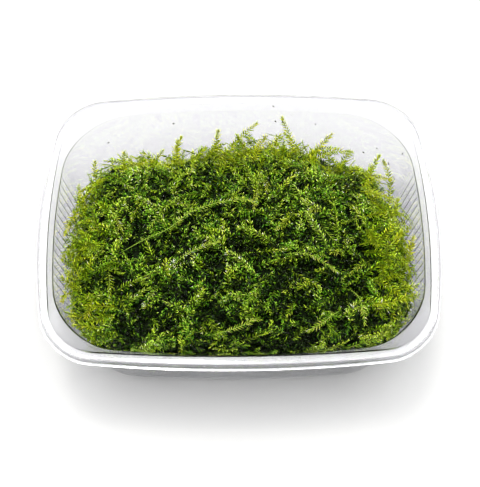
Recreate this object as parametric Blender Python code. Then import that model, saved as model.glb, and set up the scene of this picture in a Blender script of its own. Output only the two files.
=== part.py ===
"""Spiky moss from tissue culture, filling a clear rectangular tub with round corners.

Every length is in metres. The origin is on the table under the middle of the tub, +X runs
along the tub's long side, -Y is its front and +Z is up. Depths are measured down from the
plane of the rim's top.
"""

import math
from dataclasses import dataclass

import bmesh
import bpy
from mathutils import Vector, noise
from mathutils.bvhtree import BVHTree

MM = 0.001

# Driving dimensions of the tub
TUB_LENGTH = 179 * MM
TUB_WIDTH = 134 * MM
TUB_HEIGHT = 69 * MM
SHEET = 0.6 * MM
LIP_DROP = 2.3 * MM
LIP_WIDTH = 0.9 * MM
SKIRT_INSET = 1.9 * MM
RIM_INSET = 5.65 * MM
STEP_INSET = 7.35 * MM
STEP_DEPTH = 4.5 * MM
WALL_DRAFT = 0.085
FOOT_ROUND = 3.0 * MM
FOOT_SPREAD = 0.8
FOOT_WIDTH = 5.0 * MM
PANEL_RISE = 1.2 * MM

# Driving dimensions of the flutes pressed into the walls
FLUTE_PITCH = 5.0 * MM
FLUTE_DEPTH = 0.6 * MM
FLUTES_ON_ENDS = 11
FLUTES_ON_SIDES = 17
FLUTE_MARGIN = 3.0 * MM
CORNER_SEGMENTS = 5

# Driving dimensions of the moss
WALL_GAP = 1.2 * MM
TOUCH_GAP = 0.4 * MM
CREST_DEPTH = 5.0 * MM
LEAST_DEPTH = 4.0 * MM
END_CONTACT = 22 * MM
FRONT_CONTACT = 14 * MM
BACK_CONTACT = 46 * MM
END_SHOULDER = 17 * MM
FRONT_SHOULDER = 12 * MM
BACK_SHOULDER = 28 * MM
BACK_CORNER_SHOULDER = 20 * MM
SHOULDER_POWER = 2.2
CREST_FALL = 3 * MM
TUFT_SIZE = 13 * MM
TUFT_HEIGHT = 3.0 * MM
SWELL_SIZE = 38 * MM
SWELL_HEIGHT = 3.2 * MM
SWELL_SHIFT = Vector((3.1, 7.7, 1.3))
SIDE_DENT = 0.9 * MM
MOSS_SPOKES = 60
OVAL_POWER = 0.48
# Where the moss changes from its form in the middle to that at the back, the front and the corners
BACK_ZONE = (0, 40 * MM)
BACK_CREST_ZONE = (0, 50 * MM)
BACK_CORNER_ZONE = (38 * MM, 70 * MM)
FRONT_ZONE = (30 * MM, 52 * MM)
FRONT_END_ZONE = (36 * MM, 60 * MM)
RELIEF_ZONE = (0, 8 * MM)
# Share of the way from the floor panel to where the moss leaves the wall, and inset there
SIDE_LEVELS = ((0.0, 9 * MM), (0.12, 1.5 * MM), (0.55, 0.0), (1.0, 0.0))
# Size of each ring of the moss's top as a share of the ring where it leaves the wall
TOP_SHARES = (0.96, 0.91, 0.85, 0.78, 0.7, 0.6, 0.49, 0.37, 0.25, 0.12)

# Driving dimensions of the sprigs and stems
SPRIG_RADIUS = 1.8 * MM
STEM_RADIUS = 1.2 * MM
TIP_RADIUS = 0.35 * MM
SPRIG_SIDES = 6
SPRIG_RINGS = 5
STEM_RINGS = 8
TAPER_START = 3
TAPER_END = 0.8
# A direction that no sprig runs along, from which the ring round a stem is laid out
RING_UP = Vector((0.13, 0.21, 0.97))


@dataclass
class Outline:
    """A round-cornered rectangle whose sides bow outwards, at a height."""

    half_x: float
    half_y: float
    corner: float
    bow_x: float
    bow_y: float
    z: float

    def end_x(self, y):
        """Distance of the short side from the middle, at a place along it."""
        return self.half_x - self.bow_x * (y / self.half_y) ** 2

    def side_y(self, x):
        """Distance of the long side from the middle, at a place along it."""
        return self.half_y - self.bow_y * (x / self.half_x) ** 2

    def corner_point(self, angle):
        """A point of the corner where x and y are positive, at an angle from its short side."""
        x = self.half_x
        y = self.half_y
        for _ in range(8):
            x = self.end_x(y) - self.corner * (1 - math.cos(angle))
            y = self.side_y(x) - self.corner * (1 - math.sin(angle))
        return x, y

    def depth_inside(self, x, y):
        """How far a point lies inside the outline."""
        across = abs(x) + self.bow_x * (y / self.half_y) ** 2 - self.half_x + self.corner
        along = abs(y) + self.bow_y * (x / self.half_x) ** 2 - self.half_y + self.corner
        outside = math.hypot(max(across, 0), max(along, 0))
        return self.corner - outside - min(max(across, along), 0)


# Corner radius, bow of the short sides and bow of the long sides, where the photograph fixes them
LIP_SHAPE = (16.7 * MM, 9.9 * MM, 6.4 * MM)
RIM_SHAPE = (16.4 * MM, 6.4 * MM, 4.2 * MM)
WALL_SHAPE = (23.7 * MM, 6.4 * MM, 6.5 * MM)
FOOT_SHAPE = (20.0 * MM, 5.0 * MM, 5.0 * MM)


def blend(low, high, share):
    """Each value of low moved towards high by a share of the way."""
    return tuple(a + (b - a) * share for a, b in zip(low, high))


def smooth_step(value, start, end):
    """0 before start, 1 after end, and a smooth rise between them."""
    share = min(max((value - start) / (end - start), 0), 1)
    return share * share * (3 - 2 * share)


def outline_at(inset, depth, shape):
    """An outline inset from the tub's outer edge, below the rim's top."""
    corner, bow_x, bow_y = shape
    half_x = TUB_LENGTH / 2 - inset
    half_y = TUB_WIDTH / 2 - inset
    return Outline(half_x, half_y, corner, bow_x, bow_y, TUB_HEIGHT - depth)


def wall_outline(depth, inset=0.0):
    """The wall's inner outline at a depth, moved inwards by inset."""
    share = (depth - STEP_DEPTH) / (TUB_HEIGHT - STEP_DEPTH)
    corner, bow_x, bow_y = blend(WALL_SHAPE, FOOT_SHAPE, max(share, 0))
    shape = (max(corner - inset, 6 * MM), bow_x, bow_y)
    return outline_at(STEP_INSET + WALL_DRAFT * (depth - STEP_DEPTH) + inset, depth, shape)


def material(name, colour, roughness, alpha=1.0):
    """A plain Principled material."""
    made = bpy.data.materials.new(name)
    made.use_nodes = True
    shader = made.node_tree.nodes["Principled BSDF"]
    shader.inputs["Base Color"].default_value = (*colour, 1)
    shader.inputs["Roughness"].default_value = roughness
    shader.inputs["Metallic"].default_value = 0
    shader.inputs["Alpha"].default_value = alpha
    made.diffuse_color = (*colour, alpha)
    return made


def add_object(name, shape, finish):
    """Turns a bmesh into a named object."""
    mesh = bpy.data.meshes.new(name)
    shape.normal_update()
    shape.to_mesh(mesh)
    shape.free()
    mesh.materials.append(finish)
    made = bpy.data.objects.new(name, mesh)
    bpy.context.scene.collection.objects.link(made)
    return made


def bridge(shape, outer, inner):
    """Quads between two rings of vertices that run anticlockwise, facing up."""
    count = len(outer)
    for i in range(count):
        j = (i + 1) % count
        shape.faces.new((outer[i], outer[j], inner[j], inner[i]))


def flute_stops(count):
    """Places of the crests and valleys of a row of flutes, centred on a side."""
    half = count * FLUTE_PITCH / 2
    return [-half + i * FLUTE_PITCH / 2 for i in range(2 * count + 1)]


def half_ring(outline, flute):
    """Points from the foot of the right side to the far end of the back, anticlockwise."""
    points = []
    for i, stop in enumerate(flute_stops(FLUTES_ON_ENDS)):
        points.append((outline.end_x(stop) + (flute if i % 2 else 0.0), stop))
    turns = [i / CORNER_SEGMENTS * math.pi / 2 for i in range(CORNER_SEGMENTS + 1)]
    points.extend(outline.corner_point(turn) for turn in turns)
    for i, stop in enumerate(flute_stops(FLUTES_ON_SIDES)):
        points.append((-stop, outline.side_y(stop) + (flute if i % 2 else 0.0)))
    for turn in reversed(turns):
        x, y = outline.corner_point(turn)
        points.append((-x, y))
    return points


def tub_ring(outline, flute=0.0):
    """One ring of the tub's sheet, anticlockwise, with or without flutes."""
    half = half_ring(outline, flute)
    ring = [Vector((x, y, outline.z)) for x, y in half]
    return ring + [Vector((-x, -y, outline.z)) for x, y in half]


def tub_profile():
    """Outlines of the sheet's upper face with their flute depths, from the lip to the floor panel."""
    floor = TUB_HEIGHT - SHEET
    foot_top = wall_outline(floor - FOOT_ROUND)
    foot_inset = FOOT_ROUND * FOOT_SPREAD
    panel_inset = foot_inset + FOOT_WIDTH
    skirt_shape = blend(LIP_SHAPE, RIM_SHAPE, SKIRT_INSET / RIM_INSET)
    return (
        (outline_at(0, LIP_DROP, LIP_SHAPE), 0.0),
        (outline_at(LIP_WIDTH, LIP_DROP, LIP_SHAPE), 0.0),
        (outline_at(SKIRT_INSET, 0, skirt_shape), 0.0),
        (outline_at(RIM_INSET, 0, RIM_SHAPE), 0.0),
        (wall_outline(STEP_DEPTH), 0.0),
        (wall_outline(STEP_DEPTH + FLUTE_MARGIN), FLUTE_DEPTH),
        (wall_outline(floor - FOOT_ROUND - FLUTE_MARGIN), FLUTE_DEPTH),
        (foot_top, 0.0),
        (wall_outline(floor, foot_inset), 0.0),
        (wall_outline(floor, panel_inset), 0.0),
        (wall_outline(floor - PANEL_RISE, panel_inset + PANEL_RISE), 0.0),
    )


def build_tub(finish):
    """The thermoformed tub: one thin sheet from its turned-out lip to its raised floor panel."""
    shape = bmesh.new()
    rings = []
    for outline, flute in tub_profile():
        rings.append([shape.verts.new(point) for point in tub_ring(outline, flute)])
    for outer, inner in zip(rings, rings[1:]):
        bridge(shape, outer, inner)
    shape.faces.new(rings[-1])
    tub = add_object("tub", shape, finish)
    wall = tub.modifiers.new("Sheet thickness", "SOLIDIFY")
    wall.thickness = SHEET
    wall.offset = -1
    wall.use_even_offset = True
    wall.use_quality_normals = True
    return tub


def front_share(x, y):
    """1 at the middle of the front, where the moss is piled up to the wall, and 0 elsewhere."""
    return smooth_step(-y, *FRONT_ZONE) * (1 - smooth_step(abs(x), *FRONT_END_ZONE))


def contact_depth(x, y):
    """Depth at which the moss meets the wall, beside this point."""
    depth = END_CONTACT + (BACK_CONTACT - END_CONTACT) * smooth_step(y, *BACK_ZONE)
    return depth + (FRONT_CONTACT - depth) * front_share(x, y)


def shoulder_width(x, y):
    """How far in from the wall the top of the moss starts to round down."""
    back = smooth_step(y, *BACK_ZONE)
    corner = back * smooth_step(abs(x), *BACK_CORNER_ZONE)
    width = END_SHOULDER + (BACK_SHOULDER - END_SHOULDER) * back
    width += (BACK_CORNER_SHOULDER - BACK_SHOULDER) * corner
    return width + (FRONT_SHOULDER - width) * front_share(x, y)


def tuft_relief(x, y):
    """Height of the tufts and of the broad swells of the moss at a point of its plan."""
    tuft = noise.noise(Vector((x, y, 0)) / TUFT_SIZE)
    swell = noise.noise(Vector((x, y, 0)) / SWELL_SIZE + SWELL_SHIFT)
    return TUFT_HEIGHT * tuft + SWELL_HEIGHT * swell


def moss_top(x, y):
    """Height of the moss above the table at a point of its plan."""
    contact = contact_depth(x, y)
    margin = WALL_GAP + WALL_DRAFT * (contact - STEP_DEPTH)
    inside = max(wall_outline(STEP_DEPTH).depth_inside(x, y) - margin, 0)
    crest = CREST_DEPTH + CREST_FALL * (2 * x / TUB_LENGTH) ** 2
    crest += CREST_FALL * smooth_step(y, *BACK_CREST_ZONE)
    fall = max(1 - inside / shoulder_width(x, y), 0) ** SHOULDER_POWER
    depth = crest + (contact - crest) * fall
    relief = tuft_relief(x, y) * smooth_step(inside, *RELIEF_ZONE)
    return TUB_HEIGHT - max(depth - relief, LEAST_DEPTH)


def moss_directions():
    """Directions round the middle of the plan, spread as the points of a squarish oval."""
    outline = wall_outline(STEP_DEPTH)
    directions = []
    for i in range(MOSS_SPOKES):
        angle = (i + 0.5) / MOSS_SPOKES * 2 * math.pi
        x = math.copysign(abs(math.cos(angle)) ** OVAL_POWER, math.cos(angle)) * outline.half_x
        y = math.copysign(abs(math.sin(angle)) ** OVAL_POWER, math.sin(angle)) * outline.half_y
        directions.append(Vector((x, y)).normalized())
    return directions


def reach(outline, direction):
    """The point of an outline in a direction from its middle."""
    near = 0.0
    far = TUB_LENGTH
    while far - near > 0.01 * MM:
        middle = (near + far) / 2
        if outline.depth_inside(*(direction * middle)) > 0:
            near = middle
        else:
            far = middle
    return direction * near


def side_rings():
    """Rings of the moss up the wall, from the floor panel to the line where it leaves the wall."""
    floor_depth = TUB_HEIGHT - SHEET - PANEL_RISE - TOUCH_GAP
    rings = []
    for share, inset in SIDE_LEVELS:
        ring = []
        for direction in moss_directions():
            contact = contact_depth(*reach(wall_outline(STEP_DEPTH), direction))
            depth = floor_depth + (contact - floor_depth) * share
            edge = reach(wall_outline(depth, WALL_GAP + inset), direction)
            dent = SIDE_DENT * (0.5 + noise.noise(Vector((*edge, depth)) / TUFT_SIZE))
            edge -= direction * max(dent, 0)
            ring.append(Vector((*edge, TUB_HEIGHT - depth)))
        rings.append(ring)
    return rings


def top_rings(edge):
    """Rings of the moss over its top, from the wall to the middle."""
    rings = []
    for share in TOP_SHARES:
        ring = []
        for point in edge:
            x = point.x * share
            y = point.y * share
            ring.append(Vector((x, y, moss_top(x, y))))
        rings.append(ring)
    return rings


def build_cushion(finish):
    """The tangle of the moss as one solid whose face is where the tips of its leaves reach."""
    shape = bmesh.new()
    sides = side_rings()
    points = sides + top_rings(sides[-1])
    rings = [[shape.verts.new(point) for point in ring] for ring in points]
    for outer, inner in zip(rings, rings[1:]):
        bridge(shape, outer, inner)
    shape.faces.new(list(reversed(rings[0])))
    peak = shape.verts.new((0, 0, moss_top(0, 0)))
    for i, vert in enumerate(rings[-1]):
        shape.faces.new((vert, rings[-1][(i + 1) % len(rings[-1])], peak))
    return add_object("moss_cushion", shape, finish)


def build_socket(cushion):
    """A slightly larger copy of the tangle, which trims the foot of every sprig."""
    socket = bpy.data.objects.new("socket_cutter", cushion.data.copy())
    bpy.context.scene.collection.objects.link(socket)
    swell = socket.modifiers.new("Gap", "DISPLACE")
    swell.strength = TOUCH_GAP
    swell.mid_level = 0
    socket.hide_render = True
    socket.display_type = "WIRE"
    return socket


def curve_point(points, share):
    """A point on the smooth curve through the control points of a sprig."""
    span = min(int(share * (len(points) - 1)), len(points) - 2)
    t = share * (len(points) - 1) - span
    before = points[max(span - 1, 0)]
    start = points[span]
    end = points[span + 1]
    after = points[min(span + 2, len(points) - 1)]
    return 0.5 * (
        2 * start
        + (end - before) * t
        + (2 * before - 5 * start + 4 * end - after) * t * t
        + (3 * start - before - 3 * end + after) * t * t * t
    )


def sprig_ring(place, heading, width):
    """Points of a ring round a stem that heads in a direction."""
    across = heading.cross(RING_UP).normalized()
    over = across.cross(heading).normalized()
    ring = []
    for k in range(SPRIG_SIDES):
        angle = k / SPRIG_SIDES * 2 * math.pi
        ring.append(place + width * (math.cos(angle) * across + math.sin(angle) * over))
    return ring


def sprig_rings(places, radius):
    """Rings of a tapering stem through the given places."""
    last = len(places) - 1
    rings = []
    for i, place in enumerate(places):
        heading = places[min(i + 1, last)] - places[max(i - 1, 0)]
        taper = (1 - (i / last) ** TAPER_START) ** TAPER_END
        rings.append(sprig_ring(place, heading, TIP_RADIUS + (radius - TIP_RADIUS) * taper))
    return rings


def build_sprig(name, places, radius, finish, socket):
    """A tapered solid round one leafy stem, trimmed where its foot enters the tangle."""
    shape = bmesh.new()
    rows = [[shape.verts.new(point) for point in ring] for ring in sprig_rings(places, radius)]
    for first, second in zip(rows, rows[1:]):
        bridge(shape, first, second)
    shape.faces.new(list(reversed(rows[0])))
    shape.faces.new(rows[-1])
    bmesh.ops.recalc_face_normals(shape, faces=shape.faces)
    sprig = add_object(name, shape, finish)
    trim = sprig.modifiers.new("Trim foot", "BOOLEAN")
    trim.operation = "DIFFERENCE"
    trim.solver = "EXACT"
    trim.object = socket
    return sprig


# Sprigs that stand out of the tangle: foot, middle and tip as x, y and depth in mm
STANDING = (
    ((-65, 22, 20), (-67, 29, 13), (-67, 35, 9)),
    ((-53, 30, 18), (-54, 35, 11), (-53, 39, 7)),
    ((-37, 33, 16), (-41, 39, 12), (-46, 42, 13)),
    ((-30, 37, 18), (-29, 43, 12), (-27, 48, 9)),
    ((-22, 36, 16), (-18, 40, 10), (-15, 43, 10)),
    ((-8, 38, 17), (-10, 43, 9), (-9, 48, 3)),
    ((-1, 39, 17), (3, 45, 8), (9, 51, 2)),
    ((7, 37, 16), (10, 41, 9), (13, 46, 5)),
    ((25, 38, 17), (25, 46, 9), (21, 54, 2)),
    ((18, 38, 17), (18, 42, 9), (20, 47, 6)),
    ((33, 36, 17), (38, 41, 8), (44, 46, 4)),
    ((42, 33, 17), (49, 37, 11), (55, 41, 12)),
    ((48, 34, 15), (52, 40, 14.5), (56, 45, 19)),
    ((59, 24, 19), (63, 31, 11), (66, 36, 7)),
    ((70, 14, 20), (72.5, 24, 13), (70, 32, 10)),
    ((69, 3, 22), (72, 9, 13), (73, 14, 8)),
    ((74, -20, 24), (77, -12, 14), (78.5, -5, 8)),
    ((-72, 16, 20), (-77, 7, 12), (-79, 0, 13)),
    ((-72, -4, 22), (-77, -7, 13), (-79, -13, 11)),
    ((-72, -25, 20), (-76, -29, 12), (-77.5, -33, 10)),
)

# Long stems that lie over the tangle, from foot to tip: x, y and lift above it in mm
TRAILING = (
    ((-51, -11, -6), (-39, -6, 2.2), (-28, 0, 2.4), (-16, 7, 2.4), (-2, 11, 2.4), (6, 8, 2.2)),
    ((-34, -20, -6), (-25, -15, 2.2), (-17, -11, 2.4), (-9, -8, 2.2)),
    ((17, -12, -6), (26, -14, 2.2), (35, -17, 2.4), (43, -23, 2.2)),
    ((-15, -49, -6), (-8, -50, 2.4), (-1, -48, 2.4), (6, -45, 2.2)),
    ((48, -27, -6), (51, -34, 2.4), (53, -40, 2.4), (54, -46, 2.4)),
    ((45, -38, -6), (40, -43, 2.4), (35, -47, 2.4), (29, -50, 2.2)),
)


def sprig_places(table):
    """Points along a standing sprig, from its foot to its tip."""
    points = [Vector((x * MM, y * MM, TUB_HEIGHT - depth * MM)) for x, y, depth in table]
    return [curve_point(points, i / SPRIG_RINGS) for i in range(SPRIG_RINGS + 1)]


def stem_places(table, ground):
    """Points along a long stem, each lifted off the face of the moss under it."""
    points = [Vector((x * MM, y * MM, lift * MM)) for x, y, lift in table]
    places = []
    for i in range(STEM_RINGS + 1):
        point = curve_point(points, i / STEM_RINGS)
        hit = ground.ray_cast(Vector((point.x, point.y, TUB_HEIGHT * 2)), Vector((0, 0, -1)))[0]
        places.append(Vector((point.x, point.y, hit.z + point.z)))
    return places


def build_sprigs(cushion):
    """The sprigs that stand out of the tangle and the long stems that lie over it."""
    socket = build_socket(cushion)
    faces = [tuple(face.vertices) for face in cushion.data.polygons]
    ground = BVHTree.FromPolygons([vert.co for vert in cushion.data.vertices], faces)
    for number, table in enumerate(STANDING, start=1):
        finish = material(f"moss_sprig_{number:02d}", (0.22, 0.36, 0.03), 0.5)
        build_sprig(f"sprig_{number:02d}", sprig_places(table), SPRIG_RADIUS, finish, socket)
    for number, table in enumerate(TRAILING, start=1):
        finish = material(f"moss_stem_{number:02d}", (0.32, 0.45, 0.08), 0.5)
        places = stem_places(table, ground)
        build_sprig(f"trailing_stem_{number:02d}", places, STEM_RADIUS, finish, socket)


def clear_scene():
    """Takes out whatever the scene holds."""
    for old in list(bpy.data.objects):
        bpy.data.objects.remove(old, do_unlink=True)


def main():
    """Builds the tub, the tangle in it and the sprigs on it."""
    clear_scene()
    build_tub(material("clear_pet_sheet", (0.93, 0.95, 0.96), 0.08, 0.3))
    cushion = build_cushion(material("moss_green", (0.06, 0.16, 0.012), 0.6))
    build_sprigs(cushion)


main()
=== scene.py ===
"""Spiky moss from tissue culture in its clear tub: its finishes, its leaves and its light.

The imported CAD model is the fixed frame. The tub is modelled again over it with finer rounds and
flutes, and the moss grows over the face of the CAD cushion as closed leaves on closed stems.
Sizes in the tables are in millimetres, and everything in a mesh is in metres. The origin is on
the table under the middle of the tub, -Y is the tub's front and +Z is up.
"""

import logging
import math
from dataclasses import dataclass, field, replace
from enum import Enum
from itertools import product
from typing import Any, Sequence

import bmesh
import bpy
import numpy as np
from mathutils import Matrix, Vector, noise
from mathutils.bvhtree import BVHTree

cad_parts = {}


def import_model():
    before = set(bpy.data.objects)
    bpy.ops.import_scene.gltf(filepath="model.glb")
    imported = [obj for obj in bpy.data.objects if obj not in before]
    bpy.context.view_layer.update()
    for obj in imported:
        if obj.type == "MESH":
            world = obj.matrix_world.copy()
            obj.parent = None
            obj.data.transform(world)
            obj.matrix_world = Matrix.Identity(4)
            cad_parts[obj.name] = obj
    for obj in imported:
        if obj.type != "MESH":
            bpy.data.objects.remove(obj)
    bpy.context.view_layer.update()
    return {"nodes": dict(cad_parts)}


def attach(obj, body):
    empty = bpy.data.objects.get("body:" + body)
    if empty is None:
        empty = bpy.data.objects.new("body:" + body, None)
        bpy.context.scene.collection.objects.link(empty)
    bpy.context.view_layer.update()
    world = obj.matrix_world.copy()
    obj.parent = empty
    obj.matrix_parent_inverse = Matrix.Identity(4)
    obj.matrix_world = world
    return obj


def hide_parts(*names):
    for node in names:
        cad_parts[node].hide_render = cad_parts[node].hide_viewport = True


Place = tuple[float, float, float]
Places = tuple[Place, ...]
Colours = tuple[tuple[float, str], ...]

LOG = logging.getLogger("moss_tub")
MM = 0.001
BODY = "root"
SEED = 20
# Two places nearer than this, in mm, are the same
HAIR = 0.01
# Input sockets of a Mix node for its two colours, and the output socket of the mixed one
MIX_A, MIX_B, MIXED = 6, 7, 2
# A leaf's age runs from 0, old or darkest in painted shade, to FRESHEST, and a dried leaf or tip, like a tip
# painted pale as a glint, has an age of its own
FRESHEST = 0.9
DRY_AND_GLINT = 1.0
# The span of a strand is 0 on a fresh stem and up to LEAF_BASE on an old one. On a leaf it runs
# from LEAF_BASE at its base to 1 at its tip
LEAF_BASE = 0.1


class Slot(Enum):
    """The record's material slots."""

    TUB = "tub"
    MOSS = "moss"
    SPRIG = "sprig"
    STEM = "stem"


class Zone(Enum):
    """The parts of the tangle's face that shoots grow on."""

    TOP = "top"
    EDGE = "edge"
    WALL = "wall"
    FLOOR = "floor"


def linear(code: str) -> tuple[float, float, float, float]:
    """Turn an sRGB hex colour into the linear colour that a shader takes.

    Args:
        code: Six hex digits after a hash sign.

    Returns:
        Linear red, green and blue, and an alpha of 1.
    """
    parts = [int(code[i : i + 2], 16) / 255 for i in (1, 3, 5)]
    red, green, blue = (v / 12.92 if v <= 0.04045 else ((v + 0.055) / 1.055) ** 2.4 for v in parts)
    return red, green, blue, 1.0


def blank_material(name: str) -> tuple[bpy.types.Material, bpy.types.NodeTree]:
    """Start a material that has no nodes yet.

    Args:
        name: The material's name.

    Returns:
        The material and its node tree.
    """
    made = bpy.data.materials.new(name)
    made.use_nodes = True
    made.node_tree.nodes.clear()
    return made, made.node_tree


def add_node(
    tree: bpy.types.NodeTree,
    kind: str,
    values: dict[str | int, Any] | None = None,
    links: dict[str | int, bpy.types.NodeSocket] | None = None,
    **attributes: Any,
) -> bpy.types.Node:
    """Add a node with its settings and links.

    Args:
        tree: The node tree of a material or world.
        kind: Blender's name of the node type.
        values: Input sockets and the plain values they get.
        links: Input sockets and the output sockets that feed them.
        **attributes: The node's own settings.

    Returns:
        The new node.
    """
    node = tree.nodes.new(kind)
    for name, value in attributes.items():
        setattr(node, name, value)
    for name, value in (values or {}).items():
        node.inputs[name].default_value = value
    for name, source in (links or {}).items():
        tree.links.new(source, node.inputs[name])
    return node


def fill_ramp(node: bpy.types.Node, stops: Colours) -> None:
    """Give a colour ramp its stops.

    Args:
        node: The colour ramp node.
        stops: Places from 0 to 1 with their hex colours.
    """
    ramp = node.color_ramp
    while len(ramp.elements) < len(stops):
        ramp.elements.new(1.0)
    for element, (place, code) in zip(ramp.elements, stops):
        element.position = place
        element.color = linear(code)


def unit(rows: np.ndarray) -> np.ndarray:
    """Scale vectors in the last axis to a length of 1."""
    return rows / np.maximum(np.linalg.norm(rows, axis=-1, keepdims=True), 1e-9)


def blend(low: Sequence[float], high: Sequence[float], share: Any) -> list[Any]:
    """Each value of low moved towards high by a share of the way."""
    return [a + (b - a) * share for a, b in zip(low, high)]


def smooth_step(value: Any, start: float, end: float) -> Any:
    """0 before start, 1 after end, and a smooth rise between them."""
    share = np.clip((np.asarray(value, float) - start) / (end - start), 0, 1)
    return share * share * (3 - 2 * share)


def nearness(places: np.ndarray, x: float, y: float, radius: float) -> np.ndarray:
    """1 over a spot of the plan and a smooth fall around it. The spot and its radius are in mm."""
    apart = np.hypot(places[..., 0] - x * MM, places[..., 1] - y * MM) / (radius * MM)
    return np.exp(-(apart**2))


def lumpiness(places: np.ndarray, size_mm: float) -> np.ndarray:
    """Smooth noise from -1 to 1 at each place, with lumps of a size."""
    return np.array([noise.noise(Vector(place) / (size_mm * MM)) for place in places])


def settle(piece: bpy.types.Object, slot: Slot, *nodes: str) -> bpy.types.Object:
    """Let a finished piece ride on the body, in the place of CAD nodes.

    Args:
        piece: The finished piece.
        slot: The record's slot for the piece. It is not used.
        *nodes: The CAD nodes that it stands for.

    Returns:
        The same piece.
    """
    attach(piece, BODY)
    if nodes:
        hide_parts(*nodes)
    LOG.info("%s: %d triangles", piece.name, sum(len(f.vertices) - 2 for f in piece.data.polygons))
    return piece


# Finishes


@dataclass(frozen=True)
class ClearSheet:
    """Thermoformed clear PET sheet: glossy, with thin grey edges where the sheet is seen end on."""

    tint: str = "#fafafd"
    clear: float = 1.0
    ior: float = 1.43
    roughness: float = 0.04
    absorbed: str = "#c8cbd2"
    density: float = 28.0
    wave_mm: float = 14.0
    wave_detail: float = 2.0
    wave_strength: float = 0.008
    wave_height_mm: float = 0.4

    def material(self) -> bpy.types.Material:
        """Build the sheet's material.

        Returns:
            The material.
        """
        # PET drawn hot over a mould has a smooth glossy skin with slow waves, and it is so clear
        # that it shows by its reflections and by the grey of its edges. Its usual index is about
        # 1.57, and a lower one keeps its reflections of the moss as faint as in the photograph.
        made, tree = blank_material("thermoformed_clear_pet")
        place = add_node(tree, "ShaderNodeTexCoord")
        wave = add_node(
            tree,
            "ShaderNodeTexNoise",
            {"Scale": 1 / (self.wave_mm * MM), "Detail": self.wave_detail},
            {"Vector": place.outputs["Object"]},
        )
        bump = add_node(
            tree,
            "ShaderNodeBump",
            {"Strength": self.wave_strength, "Distance": self.wave_height_mm * MM},
            {"Height": wave.outputs["Fac"]},
        )
        shader = add_node(
            tree,
            "ShaderNodeBsdfPrincipled",
            {
                "Base Color": linear(self.tint),
                "Roughness": self.roughness,
                "IOR": self.ior,
                "Transmission Weight": self.clear,
            },
            {"Normal": bump.outputs["Normal"]},
        )
        haze = add_node(
            tree,
            "ShaderNodeVolumeAbsorption",
            {"Color": linear(self.absorbed), "Density": self.density},
        )
        add_node(
            tree,
            "ShaderNodeOutputMaterial",
            links={"Surface": shader.outputs["BSDF"], "Volume": haze.outputs["Volume"]},
        )
        return made


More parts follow.
